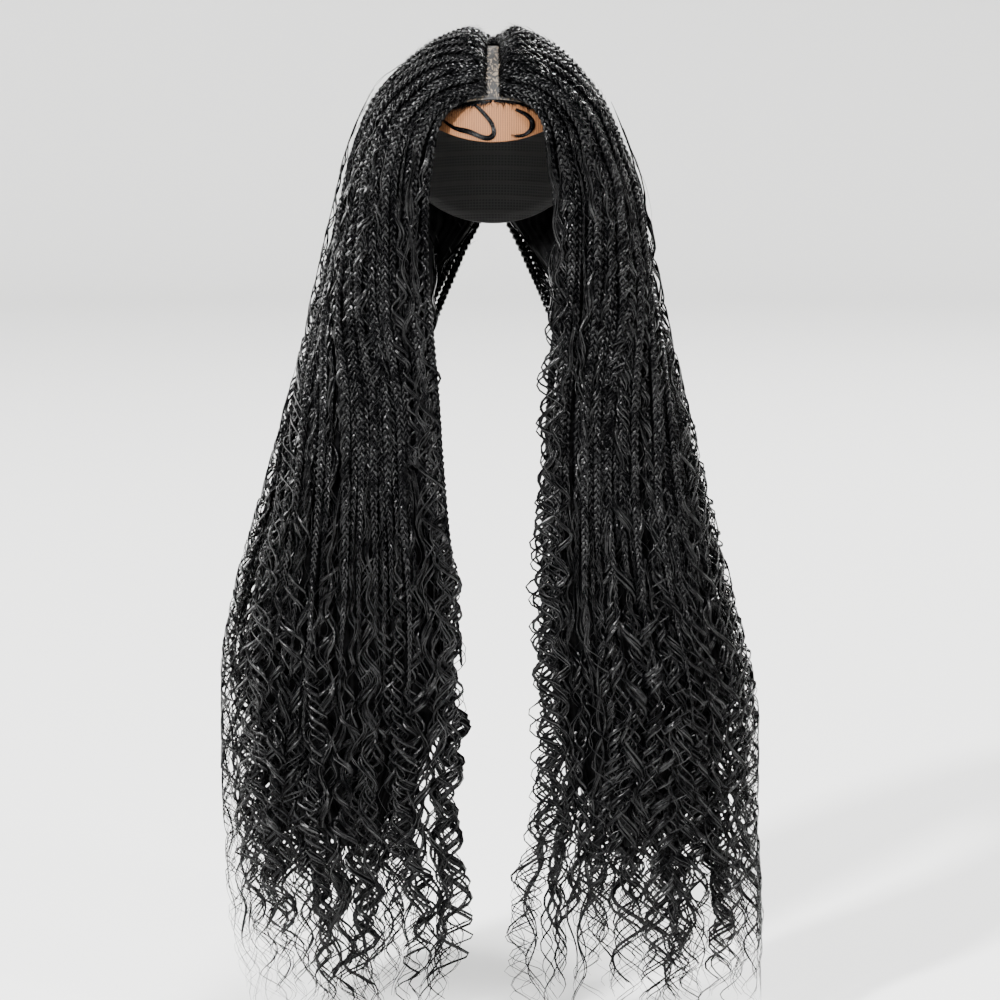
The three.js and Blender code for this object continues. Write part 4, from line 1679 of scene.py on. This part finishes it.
@dataclass
class HeadPieces:
    """The cap with its hem, the lace front, the hairline band and the parting."""

    net: bpy.types.Material
    hem_cloth: bpy.types.Material
    lace: bpy.types.Material
    scalp: bpy.types.Material
    hairline_y: float = -76 * MM
    whorl_y: float = 24 * MM
    nape_y: float = 80 * MM
    nape_drop: float = 152 * MM
    lace_half_width: float = 52 * MM
    lace_drop: float = 72 * MM
    lace_corner: float = 61 * MM
    parting_width: float = 12.6 * MM
    parting_wall: float = 1 * MM
    cap_cut: tuple[float, float] = (0.3, 0.34)
    band_half_width: float = 33 * MM
    band_height: float = 5.5 * MM
    round_: int = 108

    @property
    def angles(self) -> Array:
        """The angles round the head that the cap has points at, of shape (1, round)."""
        return np.linspace(0, FULL_TURN, self.round_, endpoint=False)[None]

    @property
    def hairline_drop(self) -> float:
        """How far the hairline at the middle lies below the crown."""
        return HEAD.rise * (1 - math.sqrt(1 - (self.hairline_y / HEAD.half_length) ** 2))

    @property
    def slope(self) -> float:
        """How steeply the cap's edge falls from the hairline to the nape."""
        return (self.nape_drop - self.hairline_drop) / (self.nape_y - self.hairline_y)

    def seam_height(self, x: Array, grow: float) -> Array:
        """Heights of the cap's front edge, found by repeated insertion.

        Args:
            x: places across.
            grow: how far the surface stands off the head.

        Returns:
            Where the slanted edge meets the forehead, one height for each place.
        """
        high = -self.hairline_drop * np.ones_like(x)
        for _ in range(12):
            high = -self.hairline_drop - self.slope * (HEAD.front(x, high, grow) - self.hairline_y)
        return high

    def cut(self, outer: Array) -> tuple[float, float]:
        """The flat width and length that a cloth is cut to.

        Args:
            outer: the cloth's outer points, of shape (rows, columns, 3).

        Returns:
            The longest way along its rows and the longest way down its columns.
        """
        ways = (lengths(grid)[:, -1].max() for grid in (outer, outer.transpose(1, 0, 2)))
        return tuple(float(way) for way in ways)

    def walls(self, outer: Array, inner: Array, share: Array) -> Array:
        """Two walls round the head, above the cap's slanted edge.

        At each angle round the head, the edge's height comes from halving the range in which the
        head's surface meets the slanted plane. Rows fall from the crown to it by one less a cosine.

        Args:
            outer: how far the outer wall stands off the head, of shape (rows, 1) or (rows, round).
            inner: the same for the inner wall.
            share: each row's place, 0 at the crown and 1 at the edge.

        Returns:
            Points of shape (2, rows, round, 3).
        """
        angle = self.angles
        both = []
        for grow in (outer, inner):
            low, high = np.full_like(angle + grow, -0.2), np.full_like(angle + grow, -0.02)
            for _ in range(30):
                z = (low + high) / 2
                y = (HEAD.half_length + grow) * HEAD.girth(z, grow) * np.sin(angle)
                over = z > -self.hairline_drop - self.slope * (y - self.hairline_y)
                low, high = np.where(over, low, z), np.where(over, z, high)
            z = grow + ((low + high) / 2 - grow) * (1 - np.cos(math.pi / 2 * share[:, None]))
            girth = HEAD.girth(z, grow)
            x = (HEAD.half_width + grow) * girth * np.cos(angle)
            y = (HEAD.half_length + grow) * girth * np.sin(angle)
            both.append(np.stack([x, y, z], axis=-1))
        return np.stack(both)

    def cap(self) -> list[bpy.types.Object]:
        """Builds the net cap, the soft hem along its edge and the strip of lace at its front.

        Returns:
            The cap, which stands for its solid, the hem and the strip.
        """
        rows, hem_rows = 26, 9
        flat = np.ones((rows, 1))
        walls = self.walls(flat * CAP_WALL, flat * 0.05 * MM, np.linspace(0.03, 1, rows))
        net = shell_mesh("cap_net", walls, True, self.net)
        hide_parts("cap")
        crown = np.sin(math.pi * np.linspace(0.02, 0.98, hem_rows))[:, None] ** 0.5
        beside = np.clip(1.9 + 2.6 * np.sin(self.angles), 0, 1)
        top = CAP_WALL + 0.06 * MM + 1.1 * MM * crown * beside
        under = np.full((hem_rows, 1), CAP_WALL + 0.02 * MM)
        walls = self.walls(top, under, np.linspace(0.925, 0.998, hem_rows))
        hem = shell_mesh("cap_hem", walls, False, self.hem_cloth)
        band = self.hairline_band()
        return [net, hem, band]

    def hairline_band(self) -> bpy.types.Object:
        """Builds the narrow strip of speckled scalp lace on the cap's front edge.

        Returns:
            The strip.
        """
        x = np.linspace(-1, 1, 61)[None] * self.band_half_width
        edge = self.seam_height(x, CAP_WALL)
        height = self.band_height * (1 - 0.55 * (x / self.band_half_width) ** 2)
        z = edge + height * np.linspace(1, 0, 9)[:, None] + 0.1 * MM
        wide = np.broadcast_to(x, z.shape)
        grids = [
            np.stack([wide, HEAD.front(wide, z, CAP_WALL + grow), z], axis=-1)
            for grow in (0.4 * MM, 0.05 * MM)
        ]
        uv = np.stack([wide, z], axis=-1)
        return grid_mesh("hairline_band", np.stack(grids), uv, self.scalp)

    def lace_front(self) -> bpy.types.Object:
        """Builds the lace on the forehead, from the cap's edge to its rounded lower edge.

        Returns:
            The lace, which stands for its solid.
        """
        x = np.linspace(-1, 1, 61)[None] * self.lace_half_width
        rounding = (self.lace_corner - self.lace_drop) * (x / self.lace_half_width) ** 2
        low = -(self.lace_drop + rounding)
        high = self.seam_height(x, LACE_WALL) - CLEARANCE
        t = np.linspace(0, 1, 31)[:, None]
        z = high + (low - high) * t
        wide = np.broadcast_to(x, z.shape)
        outer = np.stack([wide, HEAD.front(wide, z, LACE_WALL), z], axis=-1)
        inner = np.stack([wide, HEAD.front(wide, z, LACE_WALL / 2), z], axis=-1)
        uv = np.stack([wide, z], axis=-1)
        piece = grid_mesh("lace", np.stack([outer, inner]), uv, self.lace)
        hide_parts("lace_front")
        self.cut(outer)
        return piece

    def parting(self) -> bpy.types.Object:
        """Builds the bare strip of the parting, a band over the crown on the cap.

        Returns:
            The strip, which stands for its solid.
        """
        long = HEAD.half_length + CAP_WALL
        angle = np.linspace(math.asin(self.hairline_y / long), math.asin(self.whorl_y / long), 90)
        y = long * np.sin(angle)
        x = np.linspace(-1, 1, 13) * self.parting_width / 2
        wide, deep = np.meshgrid(x, y)
        high = HEAD.top(0 * wide, deep, CAP_WALL) + CLEARANCE + self.parting_wall
        dip = 0.5 * MM * (np.abs(wide) / (self.parting_width / 2)) ** 2
        outer = np.stack([wide, deep, high - dip], axis=-1)
        inner = np.stack([wide, deep, high - dip - self.parting_wall * 0.8], axis=-1)
        uv = np.stack([wide, deep], axis=-1)
        grid = np.stack([outer, inner])[:, ::-1]
        piece = grid_mesh("parting", grid, uv[::-1], self.scalp)
        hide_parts("parting_strip")
        self.cut(outer)
        return piece


class Lamp(NamedTuple):
    """A soft square lamp that points at the wig: its place, its power in watts and its width."""

    name: str
    place: tuple[float, float, float]
    power: float
    width: float


LAMPS = (
    Lamp("key", (-2.5, -4.3, 3.0), 1180, 0.4),
    Lamp("fill", (3.4, -4.0, 1.6), 170, 0.4),
    Lamp("top", (0.4, -1.1, 4.6), 480, 0.9),
    Lamp("rim", (1.8, 4.4, 2.6), 360, 1.3),
    Lamp("low", (-4.1, 3.3, 1.2), 240, 1.3),
)


@dataclass(frozen=True)
class Studio:
    """The camera, the pale floor and the soft light."""

    target: tuple[float, float, float] = (0.006, -0.04, -0.3885)
    pitch: float = 8.5
    distance: float = 5.0
    half_view: float = 0.435
    sensor: float = 36.0
    daylight: tuple[float, float, float] = (0.86, 0.88, 0.9)
    daylight_strength: float = 0.11
    floor_colour: tuple[float, float, float] = (0.8, 0.8, 0.79)
    floor_height: float = -0.86
    floor_flat: float = 5.7
    floor_reach: float = 9.2
    floor_bend: float = 1.7

    def backdrop(self) -> bpy.types.Object:
        """Builds the pale floor, which bends up all round in the far distance.

        A point's height is the square of how far it lies past the flat part, over a long radius.

        Returns:
            The floor.
        """
        angle = np.linspace(0, FULL_TURN, 96, endpoint=False)
        reach = np.linspace(0.02, self.floor_reach, 80)
        far, around = np.meshgrid(reach, angle, indexing="ij")
        rise = np.clip(far - self.floor_flat, 0, None) ** 2 / self.floor_bend
        height = self.floor_height + rise
        points = np.stack([far * np.cos(around), far * np.sin(around), height], axis=-1)
        index = np.arange(far.size).reshape(far.shape)
        turned = np.roll(index, -1, axis=1)
        faces = np.stack([index[:-1], index[1:], turned[1:], turned[:-1]], axis=-1).reshape(-1, 4)
        mesh = bpy.data.meshes.new("floor")
        mesh.from_pydata(points.reshape(-1, 3).tolist(), [], faces.tolist() + [index[0].tolist()])
        mesh.polygons.foreach_set("use_smooth", np.ones(len(mesh.polygons), bool))
        paint, _, shader = new_material("pale_floor")
        shader.inputs["Base Color"].default_value = (*self.floor_colour, 1)
        shader.inputs["Roughness"].default_value = 0.9
        mesh.materials.append(paint)
        floor = bpy.data.objects.new("floor", mesh)
        bpy.context.scene.collection.objects.link(floor)
        return floor

    def camera(self) -> bpy.types.Object:
        """Sets up the camera at the photograph's viewing angle.

        Its lens is half the sensor over half the view's width, times the distance.

        Returns:
            The camera.
        """
        camera = bpy.data.objects.new("camera", bpy.data.cameras.new("camera"))
        pitch = math.radians(self.pitch)
        back = Vector((0, -math.cos(pitch), math.sin(pitch)))
        camera.location = Vector(self.target) + back * self.distance
        camera.rotation_euler = (-back).to_track_quat("-Z", "Y").to_euler()
        camera.data.sensor_width = self.sensor
        camera.data.lens = self.sensor / 2 / (self.half_view / self.distance)
        camera.data.clip_end = 50
        bpy.context.scene.collection.objects.link(camera)
        return camera

    def build(self) -> None:
        """Sets the camera, the world's light, the floor and the lamps."""
        scene = bpy.context.scene
        scene.camera = self.camera()
        scene.world = bpy.data.worlds.new("daylight")
        scene.world.use_nodes = True
        background = scene.world.node_tree.nodes["Background"]
        background.inputs[0].default_value = (*self.daylight, 1)
        background.inputs[1].default_value = self.daylight_strength
        self.backdrop()
        for lamp in LAMPS:
            light = bpy.data.lights.new(lamp.name, "AREA")
            light.energy = lamp.power
            light.size = lamp.width
            piece = bpy.data.objects.new(lamp.name, light)
            piece.location = lamp.place
            aim = Vector(self.target) - Vector(lamp.place)
            piece.rotation_euler = aim.to_track_quat("-Z", "Y").to_euler()
            scene.collection.objects.link(piece)


def report(pieces: list[bpy.types.Object]) -> None:
    """Logs each piece with its triangles, and their sum.

    Args:
        pieces: the pieces in the order that they were built in.
    """
    total = 0
    for piece in pieces:
        faces = sum(len(face.vertices) - 2 for face in piece.data.polygons)
        total += faces
        LOG.info("%s: %d triangles", piece.name, faces)
    LOG.info("all %d pieces: %d triangles", len(pieces), total)


def main() -> None:
    """Builds the wig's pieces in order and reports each."""
    logging.basicConfig(level=logging.INFO, format="%(message)s")
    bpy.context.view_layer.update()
    Studio().build()
    fibres = fibre_group()
    braid_hair = HairFinish("braid_fibre").make(fibres)
    curl_hair = HairFinish(
        "curl_fibre", rough=(0.1, 0.28), shine=0.21, along=14.0, round_=8.0, bump=0.7
    ).make(fibres)
    core_hair = HairFinish(
        "core_fibre", rough=(0.4, 0.8), shine=0.05, round_=120.0, along=9.0
    ).make(fibres)
    edge_hair = HairFinish("edge_fibre", rough=(0.14, 0.34), shine=0.08, bump=0.4).make(fibres)
    net = LaceFinish(
        "cap_net_black", thread=(0.016, 0.0155, 0.015), hole=(0.0012, 0.0012, 0.0012),
        pitch=2.6 * MM, cross=1.0, cloud=0.1, weave=Weave.ROUND, track=13 * MM,
    ).make()
    hem = LaceFinish(
        "hem_black", thread=(0.02, 0.0195, 0.019), hole=(0.005, 0.005, 0.005),
        pitch=1.1 * MM, cloud=0.1, weave=Weave.ROUND,
    ).make()
    lace = LaceFinish("lace_tan").make()
    scalp = PartingFinish("scalp_knots").make()
    pieces: list[bpy.types.Object] = []
    head = HeadPieces(net, hem, lace, scalp)
    pieces += [*head.cap(), head.lace_front(), head.parting()]
    edges = EdgeHairs(edge_hair)
    pieces += [edges.lock(side) for side in Side]
    pieces += [edges.soft_edge(head), Crossing(braid_hair).build()]
    for side in Side:
        sheet = Sheet(side)
        seed = 100 + side.value
        pieces += HairCore(sheet, core_hair, curl_hair).build()
        pieces += Plaits(sheet, braid_hair, seed + 10).build()
        pieces += Curls(sheet, curl_hair, seed + 20).build()
        pieces.append(Roots(sheet, braid_hair, seed + 40).build())
        pieces.append(Fuzz(sheet, curl_hair, seed + 50).build())
        pieces.append(Flyaways(sheet, curl_hair, seed + 30).build())
    report(pieces)


if __name__ == "__main__":
    main()
